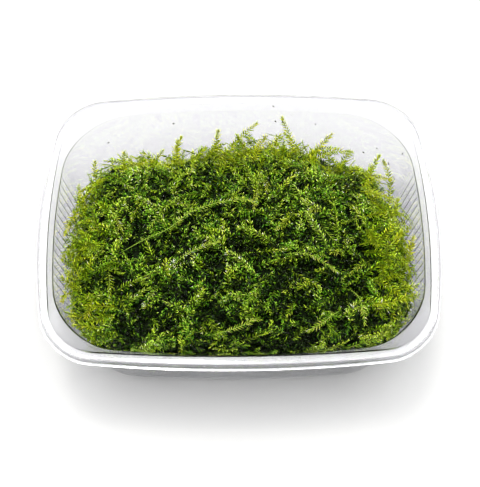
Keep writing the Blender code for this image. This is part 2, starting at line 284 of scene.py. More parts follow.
@dataclass(frozen=True)
class LeafFinish:
    """Living moss leaf: a thin, wet, waxy skin that is dark when old and yellow-green when fresh.

    It reads the growth attribute of the strands, where red is the age with painted shade and painted
    glints in it, green the span from the stem to the leaf's tip, blue the hue and alpha whether the leaf is
    wet.
    """

    name: str
    olives: Colours
    greens: Colours
    stem: str = "#a0b840"
    stem_share: float = 0.9
    # Painted shade at a leaf's base and a painted highlight towards its tip, as factors on its colour
    base_shade: float = 0.2
    tip_painted_highlight: float = 1.45
    roughness: float = 0.42
    specular: float = 0.12
    coat_roughness: float = 0.16
    glow_share: float = 0.2
    glow_gamma: float = 0.9
    mottle_mm: float = 1.6
    mottle_detail: float = 1.0
    mottle_range: tuple[float, float] = (0.3, 0.7)
    mottle_age: float = 0.1

    def material(self) -> bpy.types.Material:
        """Build the leaves' material.

        Returns:
            The material.
        """
        # A living moss leaf is one cell thick, so light shines through it. Its wet wax glints
        # softly, and a film of water on some leaves gives sharper glints.
        made, tree = blank_material(self.name)
        growth = add_node(tree, "ShaderNodeAttribute", attribute_name="growth")
        parts = add_node(tree, "ShaderNodeSeparateColor", links={"Color": growth.outputs["Color"]}).outputs
        blade = self.blade_colour(tree, parts["Red"], parts["Blue"])
        colour = self.strand_colour(tree, blade, parts["Green"])
        shader = add_node(
            tree,
            "ShaderNodeBsdfPrincipled",
            {
                "Roughness": self.roughness,
                "Specular IOR Level": self.specular,
                "Coat Roughness": self.coat_roughness,
            },
            {"Base Color": colour, "Coat Weight": growth.outputs["Alpha"]},
        )
        through = add_node(tree, "ShaderNodeGamma", {"Gamma": self.glow_gamma}, {"Color": colour})
        glow = add_node(tree, "ShaderNodeBsdfTranslucent", links={"Color": through.outputs["Color"]})
        both = add_node(
            tree,
            "ShaderNodeMixShader",
            {"Fac": self.glow_share},
            {1: shader.outputs["BSDF"], 2: glow.outputs["BSDF"]},
        )
        add_node(tree, "ShaderNodeOutputMaterial", links={"Surface": both.outputs["Shader"]})
        return made

    def blade_colour(
        self, tree: bpy.types.NodeTree, age: bpy.types.NodeSocket, hue: bpy.types.NodeSocket
    ) -> bpy.types.NodeSocket:
        """Colour a blade by its age, mottled a little, between the olives and the greens.

        Args:
            tree: The material's nodes.
            age: The leaf's age, with painted shade and painted glints in it.
            hue: Its hue, from 0 for olive to 1 for green.

        Returns:
            The blade's colour.
        """
        place = add_node(tree, "ShaderNodeTexCoord")
        mottle = add_node(
            tree,
            "ShaderNodeTexNoise",
            {"Scale": 1 / (self.mottle_mm * MM), "Detail": self.mottle_detail},
            {"Vector": place.outputs["Object"]},
        )
        low, high = self.mottle_range
        spread = add_node(
            tree,
            "ShaderNodeMapRange",
            {"From Min": low, "From Max": high, "To Min": -self.mottle_age, "To Max": self.mottle_age},
            {"Value": mottle.outputs["Fac"]},
        )
        mottled = add_node(
            tree, "ShaderNodeMath", links={0: age, 1: spread.outputs["Result"]}, operation="ADD"
        )
        ramps = []
        for stops in (self.olives, self.greens):
            ramp = add_node(tree, "ShaderNodeValToRGB", links={"Fac": mottled.outputs["Value"]})
            fill_ramp(ramp, stops)
            ramps.append(ramp.outputs["Color"])
        blade = add_node(
            tree, "ShaderNodeMix", links={0: hue, MIX_A: ramps[0], MIX_B: ramps[1]}, data_type="RGBA"
        )
        return blade.outputs[MIXED]

    def strand_colour(
        self, tree: bpy.types.NodeTree, blade: bpy.types.NodeSocket, span: bpy.types.NodeSocket
    ) -> bpy.types.NodeSocket:
        """Paint shade at a blade's base and a highlight towards its tip, and give a fresh stem its own
        colour.

        Args:
            tree: The material's nodes.
            blade: The blade's colour.
            span: Where on the strand the place is.

        Returns:
            The strand's colour.
        """
        # Painted shade at the blade's base, rising to a painted highlight at its tip
        shade = add_node(
            tree,
            "ShaderNodeMapRange",
            {"From Min": LEAF_BASE, "From Max": 1.0, "To Min": self.base_shade, "To Max": self.tip_painted_highlight},
            {"Value": span},
        )
        leaf = add_node(
            tree,
            "ShaderNodeMix",
            {0: 1.0},
            {MIX_A: blade, MIX_B: shade.outputs["Result"]},
            data_type="RGBA",
            blend_type="MULTIPLY",
        )
        stalk = add_node(
            tree,
            "ShaderNodeMapRange",
            {"From Min": 0.0, "From Max": LEAF_BASE, "To Min": self.stem_share, "To Max": 0.0},
            {"Value": span},
        )
        strand = add_node(
            tree,
            "ShaderNodeMix",
            {MIX_B: linear(self.stem)},
            {0: stalk.outputs["Result"], MIX_A: leaf.outputs[MIXED]},
            data_type="RGBA",
        )
        return strand.outputs[MIXED]


@dataclass(frozen=True)
class MattFinish:
    """Old moss: a matt surface whose colour goes from clump to clump between two shades."""

    name: str
    dark: tuple[float, str]
    pale: tuple[float, str]
    clump_mm: float
    detail: float
    roughness: float
    specular: float
    bump: float
    bump_mm: float = 1.0

    def material(self) -> bpy.types.Material:
        """Build the material.

        Returns:
            The material.
        """
        made, tree = blank_material(self.name)
        place = add_node(tree, "ShaderNodeTexCoord")
        clumps = add_node(
            tree,
            "ShaderNodeTexNoise",
            {"Scale": 1 / (self.clump_mm * MM), "Detail": self.detail},
            {"Vector": place.outputs["Object"]},
        )
        colour = add_node(tree, "ShaderNodeValToRGB", links={"Fac": clumps.outputs["Fac"]})
        fill_ramp(colour, (self.dark, self.pale))
        links = {"Base Color": colour.outputs["Color"]}
        if self.bump:
            bump = add_node(
                tree,
                "ShaderNodeBump",
                {"Strength": self.bump, "Distance": self.bump_mm * MM},
                {"Height": clumps.outputs["Fac"]},
            )
            links["Normal"] = bump.outputs["Normal"]
        settings = {"Roughness": self.roughness, "Specular IOR Level": self.specular}
        shader = add_node(tree, "ShaderNodeBsdfPrincipled", settings, links)
        add_node(tree, "ShaderNodeOutputMaterial", links={"Surface": shader.outputs["BSDF"]})
        return made


# The tangle's leaves: nearly black deep inside, as painted shade, then olive or grass green, straw coloured
# when dry and where tips are painted pale as glints
MAT_LEAF = LeafFinish(
    "wet_moss_leaf",
    (
        (0.0, "#080e01"), (0.2, "#3a5206"), (0.45, "#90b216"),
        (0.7, "#c2dc2a"), (0.92, "#e8ee58"), (1.0, "#f8f8ee"),
    ),
    (
        (0.0, "#050e02"), (0.2, "#26500a"), (0.45, "#66ae20"),
        (0.7, "#a0d838"), (0.92, "#d4f068"), (1.0, "#f8f8f0"),
    ),
)
# The sprigs' leaves: fresh growth that light shines through, yellow-green to the base, with a little painted
# shade there and a painted highlight at the tip
SPRIG_LEAF = LeafFinish(
    "fresh_moss_leaf",
    ((0.0, "#7c9c08"), (0.4, "#b4cc14"), (0.7, "#e0ea28"), (0.92, "#f6f248"), (1.0, "#f8f6e0")),
    ((0.0, "#5c900c"), (0.4, "#98c81a"), (0.7, "#ccea2c"), (0.92, "#eaf248"), (1.0, "#f8f6e0")),
    stem="#a8b824",
    stem_share=0.7,
    base_shade=0.7,
    tip_painted_highlight=1.15,
    glow_share=0.4,
)
# The leaves at the tangle's edge: as fresh, but thicker, with painted shade towards the base and a stronger
# painted highlight at the tip
EDGE_LEAF = replace(SPRIG_LEAF, name="edge_moss_leaf", base_shade=0.3, tip_painted_highlight=1.55, glow_share=0.25)
# The long stems' leaves: pale and waxy, with a paler stem that shows between them, painted shade at each
# leaf's base and a painted highlight at its tip
STEM_COLOURS = (
    (0.0, "#2c5a0c"), (0.4, "#78ae22"), (0.7, "#bade3c"), (0.92, "#e8f060"), (1.0, "#f8f8ee"),
)
STEM_LEAF = LeafFinish(
    "pale_moss_stem", STEM_COLOURS, STEM_COLOURS, stem="#acc850", stem_share=0.8, base_shade=0.4
)
# The inside of the tangle: old wet stems, matt, in clumps, and nearly black as painted shade
OLD_MOSS_AND_SHADE = MattFinish("old_moss_and_painted_shade", (0.35, "#080c04"), (0.7, "#16240b"), 3.0, 4.0, 0.7, 0.05, 0.8)
# Crumbs of dried moss: matt, dark and greyish, with paler edges
DRIED_CRUMB = MattFinish("dried_moss_crumb", (0.4, "#2c2a24"), (0.7, "#6a6858"), 0.4, 2.0, 0.8, 0.5, 0.0)


# The tub

# Rounds in which a corner point settles between its two bowed sides
SETTLING_ROUNDS = 8


@dataclass
class Outline:
    """A round-cornered rectangle whose sides bow outwards, at one level of the tub.

    It is made from a row of seven numbers, so that two outlines blend by blending their numbers.
    """

    half_x: float
    half_y: float
    corner: float
    bow_x: float
    bow_y: float
    z: float
    flute: float

    def end_x(self, y: Any) -> Any:
        """Distance of the short side from the middle, at places along it."""
        return self.half_x - self.bow_x * (y / self.half_y) ** 2

    def side_y(self, x: Any) -> Any:
        """Distance of the long side from the middle, at places along it."""
        return self.half_y - self.bow_y * (x / self.half_x) ** 2

    def corner_points(self, angles: np.ndarray) -> tuple[np.ndarray, np.ndarray]:
        """Points of the corner where x and y are positive.

        Args:
            angles: Angles from the short side, in radians.

        Returns:
            The points' x and y.
        """
        x = np.full(len(angles), self.half_x)
        y = np.full(len(angles), self.half_y)
        for _ in range(SETTLING_ROUNDS):
            x = self.end_x(y) - self.corner * (1 - np.cos(angles))
            y = self.side_y(x) - self.corner * (1 - np.sin(angles))
        return x, y


@dataclass
class Tub:
    """The clear tub: one thermoformed sheet from its turned-out lip to its raised floor panel.

    A shape is a corner's radius, the bow of the short sides and the bow of the long sides.
    """

    length: float = 179.0
    width: float = 134.0
    height: float = 69.0
    sheet: float = 0.6
    lip_drop: float = 2.3
    lip_width: float = 0.9
    skirt_inset: float = 1.9
    rim_inset: float = 5.65
    step_inset: float = 7.35
    step_depth: float = 4.5
    draft: float = 0.085
    foot_round: float = 3.0
    foot_spread: float = 0.8
    foot_width: float = 5.0
    panel_rise: float = 1.2
    lip_shape: Place = (16.7, 9.9, 6.4)
    rim_shape: Place = (16.4, 6.4, 4.2)
    wall_shape: Place = (23.7, 6.4, 6.5)
    foot_shape: Place = (20.0, 5.0, 5.0)
    least_corner: float = 6.0
    lip_round: float = 0.35
    bend_round: float = 0.5
    foot_bend_round: float = 1.2
    flute_end_round: float = 1.4
    round_share: float = 0.45
    flute_pitch: float = 3.6
    flute_depth: float = 0.15
    flute_margin: float = 1.0
    flute_fade: float = 2.5
    flutes_on_ends: int = 16
    flutes_on_sides: int = 24
    # Places of a flute's points along it, closer together at the crease between two flutes
    flute_cuts: tuple[float, ...] = (0.0, 0.07, 0.26, 0.5, 0.74, 0.93)
    plain_steps: int = 5
    corner_steps: int = 14
    fillet_steps: int = 4
    smooth_angle: float = 40.0
    press_rounds: int = 2
    press_probe: float = 0.05
    finish: ClearSheet = field(default_factory=ClearSheet)

    def at(self, inset: float, depth: float, shape: Sequence[float], flute: float = 0.0) -> np.ndarray:
        """Outline inset from the tub's outer edge, at a depth below the rim's top.

        Args:
            inset: How far in from the lip's edge, in mm.
            depth: How far down, in mm.
            shape: The corner's radius and the two bows, in mm.
            flute: How far the flutes bulge, in mm.

        Returns:
            The outline's numbers in metres.
        """
        corner, bow_x, bow_y = shape
        sizes = (self.length / 2 - inset, self.width / 2 - inset, corner, bow_x, bow_y)
        return np.array([*sizes, self.height - depth, flute]) * MM

    def wall_at(self, depth: float, inset: float = 0.0, flute: float = 0.0) -> np.ndarray:
        """Outline of the wall's inner face at a depth.

        Args:
            depth: How far below the rim's top, in mm.
            inset: How far it is moved inwards, in mm.
            flute: How far the flutes bulge, in mm.

        Returns:
            The outline's numbers in metres.
        """
        below = depth - self.step_depth
        shape = blend(self.wall_shape, self.foot_shape, max(below / (self.height - self.step_depth), 0))
        shape[0] = max(shape[0] - inset, self.least_corner)
        return self.at(self.step_inset + self.draft * below + inset, depth, shape, flute)

    def profile(self) -> list[tuple[np.ndarray, float]]:
        """The levels of the sheet's upper face from lip to floor panel.

        Returns:
            Each level's outline, and how far from it the sheet starts to round over, in mm.
        """
        floor = self.height - self.sheet
        foot_inset = self.foot_round * self.foot_spread
        panel_inset = foot_inset + self.foot_width
        skirt_shape = blend(self.lip_shape, self.rim_shape, self.skirt_inset / self.rim_inset)
        flute_top = self.step_depth + self.flute_margin + self.flute_fade
        flute_end = floor - self.foot_round - self.flute_margin - self.flute_fade
        panel_edge = self.wall_at(floor - self.panel_rise, panel_inset + self.panel_rise)
        return [
            (self.at(0, self.lip_drop, self.lip_shape), 0.0),
            (self.at(self.lip_width, self.lip_drop, self.lip_shape), self.lip_round),
            (self.at(self.skirt_inset, 0, skirt_shape), self.bend_round),
            (self.at(self.rim_inset, 0, self.rim_shape), self.bend_round),
            (self.wall_at(self.step_depth), self.bend_round),
            (self.wall_at(flute_top, flute=self.flute_depth), self.flute_end_round),
            (self.wall_at(flute_end, flute=self.flute_depth), self.flute_end_round),
            (self.wall_at(floor - self.foot_round), self.foot_bend_round),
            (self.wall_at(floor, foot_inset), self.foot_bend_round),
            (self.wall_at(floor, panel_inset), self.bend_round),
            (panel_edge, self.bend_round),
        ]

    def levels(self) -> list[np.ndarray]:
        """The profile with every bend rounded.

        Returns:
            The outlines from the lip to the panel's edge.
        """
        profile = self.profile()
        rows = [profile[0][0]]
        for (before, _), (bend, round_mm), (after, _) in zip(profile, profile[1:], profile[2:]):
            size = round_mm * MM
            towards_before = (before - bend) * min(size / self.span(before, bend), self.round_share)
            towards_after = (after - bend) * min(size / self.span(bend, after), self.round_share)
            for t in np.linspace(0, 1, self.fillet_steps + 1):
                rows.append(bend + towards_before * (1 - t) ** 2 + towards_after * t**2)
        rows.append(profile[-1][0])
        return rows

    @staticmethod
    def span(low: np.ndarray, high: np.ndarray) -> float:
        """Length of the sheet's section between two outlines."""
        return max(math.hypot(low[0] - high[0], low[5] - high[5]), HAIR * MM)

    def places(self, flutes: int, corner_start: float) -> tuple[np.ndarray, np.ndarray]:
        """Places along half of one side, from its middle to its corner, with their share of a flute.

        Args:
            flutes: How many flutes the side has.
            corner_start: Where the corner starts, from the side's middle, in metres.

        Returns:
            The places in metres, and how far the sheet bulges there, from 0 to 1.
        """
        half = flutes * self.flute_pitch / 2 * MM
        cuts = (np.arange(flutes)[:, None] + np.array(self.flute_cuts)).ravel()
        cuts = np.append(cuts, flutes)
        fluted = cuts * self.flute_pitch * MM - half
        wave = np.abs(np.sin(cuts * math.pi))
        plain = np.linspace(half, corner_start, self.plain_steps + 1)[1:-1]
        places = np.concatenate([-plain[::-1], fluted, plain])
        waves = np.concatenate([plain * 0, wave, plain * 0])
        return places, waves

    def ring(self, row: np.ndarray) -> np.ndarray:
        """Points of one level, anticlockwise from the foot of the right side.

        Args:
            row: The level's outline as numbers.

        Returns:
            The points, one a row.
        """
        outline = Outline(*row)
        angles = np.linspace(0, math.pi / 2, self.corner_steps + 1)
        corner_x, corner_y = outline.corner_points(angles)
        along, wave = self.places(self.flutes_on_ends, corner_y[0])
        end = np.column_stack([outline.end_x(along) + wave * outline.flute, along])
        across, wave = self.places(self.flutes_on_sides, corner_x[-1])
        side = np.column_stack([-across, outline.side_y(across) + wave * outline.flute])
        corner = np.column_stack([corner_x, corner_y])
        far_corner = np.column_stack([-corner_x[::-1], corner_y[::-1]])
        half = np.vstack([end, corner, side, far_corner])
        flat = np.vstack([half, -half])
        return np.column_stack([flat, np.full(len(flat), outline.z)])

    def clearance(self, points: np.ndarray) -> np.ndarray:
        """How far points stand from the tub's inner wall, at their own height.

        Args:
            points: The points in metres, one a row.

        Returns:
            The distances in metres, negative beyond the wall.
        """
        x, y, depth = points[:, 0] / MM, points[:, 1] / MM, self.height - points[:, 2] / MM
        share = np.clip((depth - self.step_depth) / (self.height - self.step_depth), 0, 1)
        corner, bow_x, bow_y = blend(self.wall_shape, self.foot_shape, share)
        inset = self.step_inset + self.draft * np.maximum(depth - self.step_depth, 0)
        inset = inset + self.foot_spread * np.maximum(depth - self.height + self.sheet + self.foot_round, 0)
        half_x, half_y = self.length / 2 - inset, self.width / 2 - inset
        across = np.abs(x) + bow_x * (y / half_y) ** 2 - half_x + corner
        along = np.abs(y) + bow_y * (x / half_x) ** 2 - half_y + corner
        over = np.hypot(np.maximum(across, 0), np.maximum(along, 0))
        return (corner - over - np.minimum(np.maximum(across, along), 0)) * MM

    def pressed_in(self, points: np.ndarray, gap: float = 0.4) -> np.ndarray:
        """Press points into the tub's inside.

        Args:
            points: The points in metres, one a row.
            gap: How far from the sheet they stay, in mm.

        Returns:
            The points, moved where they were too near the wall or the floor.
        """
        moved = points.copy()
        floor = self.sheet + self.panel_rise + gap
        moved[:, 2] = np.maximum(moved[:, 2], floor * MM)
        for _ in range(self.press_rounds):
            short = gap * MM - self.clearance(moved)
            rows = np.flatnonzero(short > 0)
            near = moved[rows]
            slope = np.zeros_like(near)
            for axis in (0, 1):
                step = np.zeros(3)
                step[axis] = self.press_probe * MM
                slope[:, axis] = self.clearance(near + step) - self.clearance(near - step)
            moved[rows] = near + unit(slope) * short[rows, None]
        return moved

    def build(self) -> bpy.types.Object:
        """Pull the sheet down ring by ring from its lip, close its floor and give it its thickness.

        Returns:
            The finished tub.
        """
        rings = [self.ring(row) for row in self.levels()]
        count = len(rings[0])
        bpy.ops.object.select_all(action="DESELECT")
        bpy.ops.mesh.primitive_circle_add(vertices=count, radius=self.length / 2 * MM, fill_type="NOTHING")
        tub = bpy.context.object
        tub.name = "tub_sheet"
        tub.data.vertices.foreach_set("co", rings[0].astype(np.float32).ravel())
        bpy.ops.object.mode_set(mode="EDIT")
        bpy.ops.mesh.select_all(action="SELECT")
        for ring in rings[1:]:
            self.draw_in(tub, ring)
        bpy.ops.mesh.edge_face_add()
        bpy.ops.object.mode_set(mode="OBJECT")
        if tub.data.polygons[-1].normal.z < 0:
            tub.data.flip_normals()
        self.thicken(tub)
        tub.data.materials.append(self.finish.material())
        return settle(tub, Slot.TUB, "tub")

    @staticmethod
    def draw_in(tub: bpy.types.Object, ring: np.ndarray) -> None:
        """Extrude the open edge of the sheet and lay it on the next ring.

        Args:
            tub: The sheet, in edit mode, with its open edge selected.
            ring: The next ring's points, in the order of the edge's own.
        """
        bpy.ops.mesh.extrude_edges_move()
        shape = bmesh.from_edit_mesh(tub.data)
        fresh = [vert for vert in shape.verts if vert.select]
        for vert, place in zip(fresh, ring):
            vert.co = place
        bmesh.update_edit_mesh(tub.data)

    def thicken(self, tub: bpy.types.Object) -> None:
        """Give the sheet its thickness and smooth its faces.

        Args:
            tub: The sheet, selected and active.
        """
        wall = tub.modifiers.new("Sheet thickness", "SOLIDIFY")
        wall.thickness = self.sheet * MM
        wall.offset = -1
        wall.use_even_offset = True
        wall.use_quality_normals = True
        bpy.ops.object.modifier_apply(modifier=wall.name)
        bpy.ops.object.shade_smooth_by_angle(angle=math.radians(self.smooth_angle))


# Leaves and shoots

# Where dried, nearly white leaves lie together, as x, y and radius, and how high they start
DRIED: Places = ((-29, -17.5, 2.2), (-25, -15.5, 2.5), (-20.5, -13.5, 2.2), (-41, -36, 2), (-28, -41, 2.2))
DRIED_ABOVE = 45.0
# From where to where the tangle turns into its bright edge, along its ends and its back
END_EDGE = (56.0, 77.0)
BACK_EDGE = (24.0, 46.0)


def edge_share(places: np.ndarray) -> np.ndarray:
    """How near places are to the tangle's left, right or back edge, where light comes through.

    Args:
        places: The places in metres, one a row.

    Returns:
        The shares, from 0 to 1.
    """
    end_start, end_full = END_EDGE
    back_start, back_full = BACK_EDGE
    ends = smooth_step(np.abs(places[:, 0]), end_start * MM, end_full * MM)
    back = smooth_step(places[:, 1], back_start * MM, back_full * MM)
    return np.maximum(ends, back)


def dryness(places: np.ndarray) -> np.ndarray:
    """How much places in the last axis lie among dried leaves, from 0 to 1."""
    share = np.max([nearness(places, x, y, radius) for x, y, radius in DRIED], axis=0)
    return share * (places[..., 2] > DRIED_ABOVE * MM)


@dataclass
class Strands:
    """Closed leaves and stems as arrays, ready to become one mesh."""

    points: np.ndarray
    faces: np.ndarray
    growth: np.ndarray

    @classmethod
    def joined(cls, parts: Sequence["Strands"]) -> "Strands":
        """Put several bundles of strands together.

        Args:
            parts: The bundles.

        Returns:
            One bundle of them all.
        """
        starts = np.cumsum([0] + [len(part.points) for part in parts[:-1]])
        return cls(
            np.concatenate([part.points for part in parts]),
            np.concatenate([part.faces + start for part, start in zip(parts, starts)]),
            np.concatenate([part.growth for part in parts]),
        )

    def piece(self, name: str, finish: bpy.types.Material) -> bpy.types.Object:
        """Make the strands one object.

        Args:
            name: The piece's name.
            finish: Its material.

        Returns:
            The new object.
        """
        mesh = bpy.data.meshes.new(name)
        mesh.vertices.add(len(self.points))
        mesh.vertices.foreach_set("co", self.points.astype(np.float32).ravel())
        mesh.loops.add(self.faces.size)
        mesh.loops.foreach_set("vertex_index", self.faces.astype(np.int32).ravel())
        mesh.polygons.add(len(self.faces))
        starts = np.arange(0, self.faces.size, 3, dtype=np.int32)
        mesh.polygons.foreach_set("loop_start", starts)
        mesh.update(calc_edges=True)
        growth = mesh.attributes.new("growth", "FLOAT_COLOR", "POINT")
        growth.data.foreach_set("color", self.growth.astype(np.float32).ravel())
        mesh.materials.append(finish)
        made = bpy.data.objects.new(name, mesh)
        bpy.context.scene.collection.objects.link(made)
        return made


@dataclass
class LeafBlade:
    """One moss leaf, modelled once: a closed pointed blade with a keel under it, 1 long and 1 wide."""

    widest: float = 0.18
    tip_drop: float = 0.14
    points: np.ndarray = field(init=False)
    faces: np.ndarray = field(init=False)
    share: np.ndarray = field(init=False)

    def __post_init__(self) -> None:
        """Model the blade from a three-sided cone and read its shape."""
        bpy.ops.object.select_all(action="DESELECT")
        bpy.ops.mesh.primitive_cone_add(vertices=3, radius1=0.5, depth=1.0)
        blade = bpy.context.object
        # The sides lie a keel's depth under the base, and the tip a share of the length
        places = (
            (0.0, 0.0, 0.0),
            (self.widest, 0.5, -1.0),
            (self.widest, -0.5, -1.0),
            (1.0, 0.0, -self.tip_drop),
        )
        for vert, place in zip(blade.data.vertices, places):
            vert.co = place
        bpy.ops.object.mode_set(mode="EDIT")
        bpy.ops.mesh.select_all(action="SELECT")
        bpy.ops.mesh.normals_make_consistent(inside=False)
        bpy.ops.mesh.quads_convert_to_tris()
        bpy.ops.object.mode_set(mode="OBJECT")
        self.points = np.array([vert.co for vert in blade.data.vertices])
        self.faces = np.array([tuple(face.vertices) for face in blade.data.polygons])
        self.share = self.points[:, 0]
        bpy.data.objects.remove(blade)


@dataclass
class Shoots:
    """Many shoots that grow alike.

    The paths are the points along each, as shoots x points x 3, the ups are the way its upper
    side faces, as shoots x 3, and the tones are the age of its leaves with painted light and shade in it, as
    shoots x points.
    """

    paths: np.ndarray
    ups: np.ndarray
    tones: np.ndarray

    def headings(self) -> np.ndarray:
        """The direction of each shoot at each of its points.

        Returns:
            The directions, as shoots x points x 3.
        """
        ahead = np.concatenate([self.paths[:, 1:], self.paths[:, -1:]], axis=1)
        behind = np.concatenate([self.paths[:, :1], self.paths[:, :-1]], axis=1)
        return unit(ahead - behind)

    def axes(self, headings: np.ndarray) -> tuple[np.ndarray, np.ndarray]:
        """The ways to the side of each shoot and over it, square to its headings."""
        side = unit(np.cross(headings, self.ups[:, None, :]))
        return side, np.cross(side, headings)


def along(rows: np.ndarray, shares: np.ndarray) -> np.ndarray:
    """Values at shares of the way along rows of points.

    Args:
        rows: The values, as rows x points x sizes.
        shares: The shares, from 0 to 1.

    Returns:
        The values there, as rows x shares x sizes.
    """
    span = shares * (rows.shape[1] - 1)
    low = np.minimum(span.astype(int), rows.shape[1] - 2)
    part = (span - low)[None, :, None]
    return rows[:, low] * (1 - part) + rows[:, low + 1] * part


@dataclass(frozen=True)
class Habit:
    """How the leaves sit on one kind of shoot. Lengths are in mm and angles in degrees."""

    leaf_length: float = 2.1
    leaf_width: float = 0.62
    keel: float = 0.16
    stations: int = 9
    first_leaf: float = 0.1
    last_leaf: float = 0.99
    # How a leaf is turned round the stem in each rank of leaves, with 0 on its upper side
    ranks: tuple[float, ...] = (-84.0, 84.0, 0.0)
    rank_jitter: float = 13.0
    # How far a leaf opens from the stem, and what it loses of that towards the shoot's tip
    spread: float = 56.0
    spread_jitter: float = 9.0
    spread_loss: float = 0.6
    tumble: float = 0.35
    # A leaf's size at the shoot's foot, where it is full, and what it loses towards the tip
    foot_size: float = 0.75
    full_at: float = 0.3
    tip_loss: float = 0.45
    sizes: tuple[float, float] = (0.75, 1.15)
    stem: float = 0.19
    stem_tip: float = 0.35
    # The span of a stem drops from LEAF_BASE to 0 between these ages, from the old to the fresh
    stem_ages: tuple[float, float] = (0.1, 0.8)
    # Green shoots are rarer at the tangle's edge by this share
    edge_olive: float = 0.3
    age_jitter: float = 0.18
    # Shares of tips painted pale as glints on leaves past an age, and of dry tips and leaves among the dried
    # ones
    painted_glint_tips: float = 0.13
    painted_glint_from: float = 0.3
    dry_tips: float = 0.4
    dry_leaves: float = 0.7
    dry_from: float = 0.35
    wet: float = 0.5

    def strands(self, blade: LeafBlade, shoots: Shoots, rng: np.random.Generator) -> Strands:
        """Leaves and stems of many shoots.

        Args:
            blade: The leaf that repeats.
            shoots: The shoots.
            rng: Where the small differences come from.

        Returns:
            The strands of all the shoots.
        """
        greens = rng.random(len(shoots.paths)) - self.edge_olive * edge_share(shoots.paths[:, -1])
        hues = np.clip(greens, 0, 1)
        shares = np.linspace(self.first_leaf, self.last_leaf, self.stations)
        step = (shares[1] - shares[0]) / len(self.ranks)
        bundles = []
        for order, rank in enumerate(self.ranks):
            spots = np.minimum(shares + step * order, 1.0)
            places = along(shoots.paths, spots)
            points = self.leaf_points(blade, shoots, places, spots, rank, rng)
            growth = self.leaf_growth(blade, shoots, places, spots, rng)
            growth[..., 2] = hues[:, None, None]
            starts = np.arange(0, len(points), len(blade.points))[:, None, None]
            bundles.append(Strands(points, (starts + blade.faces).reshape(-1, 3), growth.reshape(-1, 4)))
        return Strands.joined([*bundles, self.stems(shoots)])

    def leaf_points(
        self,
        blade: LeafBlade,
        shoots: Shoots,
        places: np.ndarray,
        spots: np.ndarray,
        rank: float,
        rng: np.random.Generator,
    ) -> np.ndarray:
        """Place one rank of leaves.

        Args:
            blade: The leaf that repeats.
            shoots: The shoots.
            places: Where the leaves leave their stems, as shoots x leaves x 3.
            spots: How far along the shoot each is, from 0 to 1.
            rank: How the rank is turned round the stem.
            rng: Where the small differences come from.

        Returns:
            The points of the leaves, one a row.
        """
        headings = unit(along(shoots.headings(), spots))
        side, over = shoots.axes(headings)
        turn = np.radians(rank + rng.normal(0, self.rank_jitter, places.shape[:2]))[..., None]
        outward = over * np.cos(turn) + side * np.sin(turn)
        opening = self.spread * (1 - self.spread_loss * spots**4)[None, :]
        opening = opening + rng.normal(0, self.spread_jitter, places.shape[:2])
        opening = np.radians(opening)[..., None]
        aim = unit(headings * np.cos(opening) + outward * np.sin(opening))
        face = over + rng.normal(0, self.tumble, over.shape)
        face = unit(face - aim * np.sum(face * aim, axis=-1, keepdims=True))
        across = np.cross(face, aim)
        grown = smooth_step(spots, 0, self.full_at)
        size = (self.foot_size + (1 - self.foot_size) * grown) * (1 - self.tip_loss * spots**5)
        size = size[None, :] * rng.uniform(*self.sizes, places.shape[:2])
        length = (self.leaf_length * MM * size)[..., None]
        width = (self.leaf_width * MM * size)[..., None]
        corners = [
            places + aim * length * x + across * width * y + face * z * (self.keel * MM if y else length)
            for x, y, z in blade.points
        ]
        return np.stack(corners, axis=2).reshape(-1, 3)

    def leaf_growth(
        self,
        blade: LeafBlade,
        shoots: Shoots,
        places: np.ndarray,
        spots: np.ndarray,
        rng: np.random.Generator,
    ) -> np.ndarray:
        """Age, span and wetness of one rank of leaves, for the leaf finish, with some tips painted pale as
        glints.

        Args:
            blade: The leaf that repeats.
            shoots: The shoots.
            places: Where the leaves leave their stems, as shoots x leaves x 3.
            spots: How far along the shoot each is, from 0 to 1.
            rng: Where the small differences come from.

        Returns:
            The growth, as shoots x leaves x points x 4, with the hue still unset.
        """
        ages = along(shoots.tones[..., None], spots)[..., 0]
        ages = ages + rng.normal(0, self.age_jitter, places.shape[:2])
        growth = np.empty((*ages.shape, len(blade.points), 4))
        growth[..., 0] = np.clip(ages, 0, FRESHEST)[..., None]
        dried = dryness(places)
        # Painted glints: some tips are painted pale; among the dried leaves, tips and leaves are really dry
        pale = self.painted_glint_tips * (ages > self.painted_glint_from) + self.dry_tips * dried
        growth[rng.random(ages.shape) < pale, -1, 0] = DRY_AND_GLINT
        dead = (rng.random(ages.shape) < self.dry_leaves * dried) & (ages > self.dry_from)
        growth[dead, :, 0] = DRY_AND_GLINT
        growth[..., 1] = LEAF_BASE + (1 - LEAF_BASE) * blade.share
        growth[..., 3] = (rng.random(ages.shape) < self.wet)[..., None]
        return growth

    def stems(self, shoots: Shoots) -> Strands:
        """The stems of many shoots, each a closed three-sided rod that tapers to its tip.

        Args:
            shoots: The shoots.

        Returns:
            Their stems.
        """
        number, count = shoots.paths.shape[:2]
        side, over = shoots.axes(shoots.headings())
        radius = (self.stem * MM * np.linspace(1, self.stem_tip, count))[None, :, None, None]
        angles = np.radians([90, 210, 330])[None, None, :, None]
        ring = side[:, :, None] * np.cos(angles) + over[:, :, None] * np.sin(angles)
        points = (shoots.paths[:, :, None] + ring * radius).reshape(-1, 3)
        faces = []
        for low, k in product(range(0, 3 * (count - 1), 3), range(3)):
            a, b = low + k, low + (k + 1) % 3
            faces += [(a, b, b + 3), (a, b + 3, a + 3)]
        last = 3 * (count - 1)
        faces += [(2, 1, 0), (last, last + 1, last + 2)]
        starts = np.arange(number)[:, None, None] * 3 * count
        growth = np.zeros((number, count, 3, 4))
        growth[..., 0] = np.clip(shoots.tones, 0, FRESHEST)[..., None]
        growth[..., 1] = LEAF_BASE * (1 - smooth_step(shoots.tones, *self.stem_ages))[..., None]
        return Strands(points, (starts + np.array(faces)).reshape(-1, 3), growth.reshape(-1, 4))


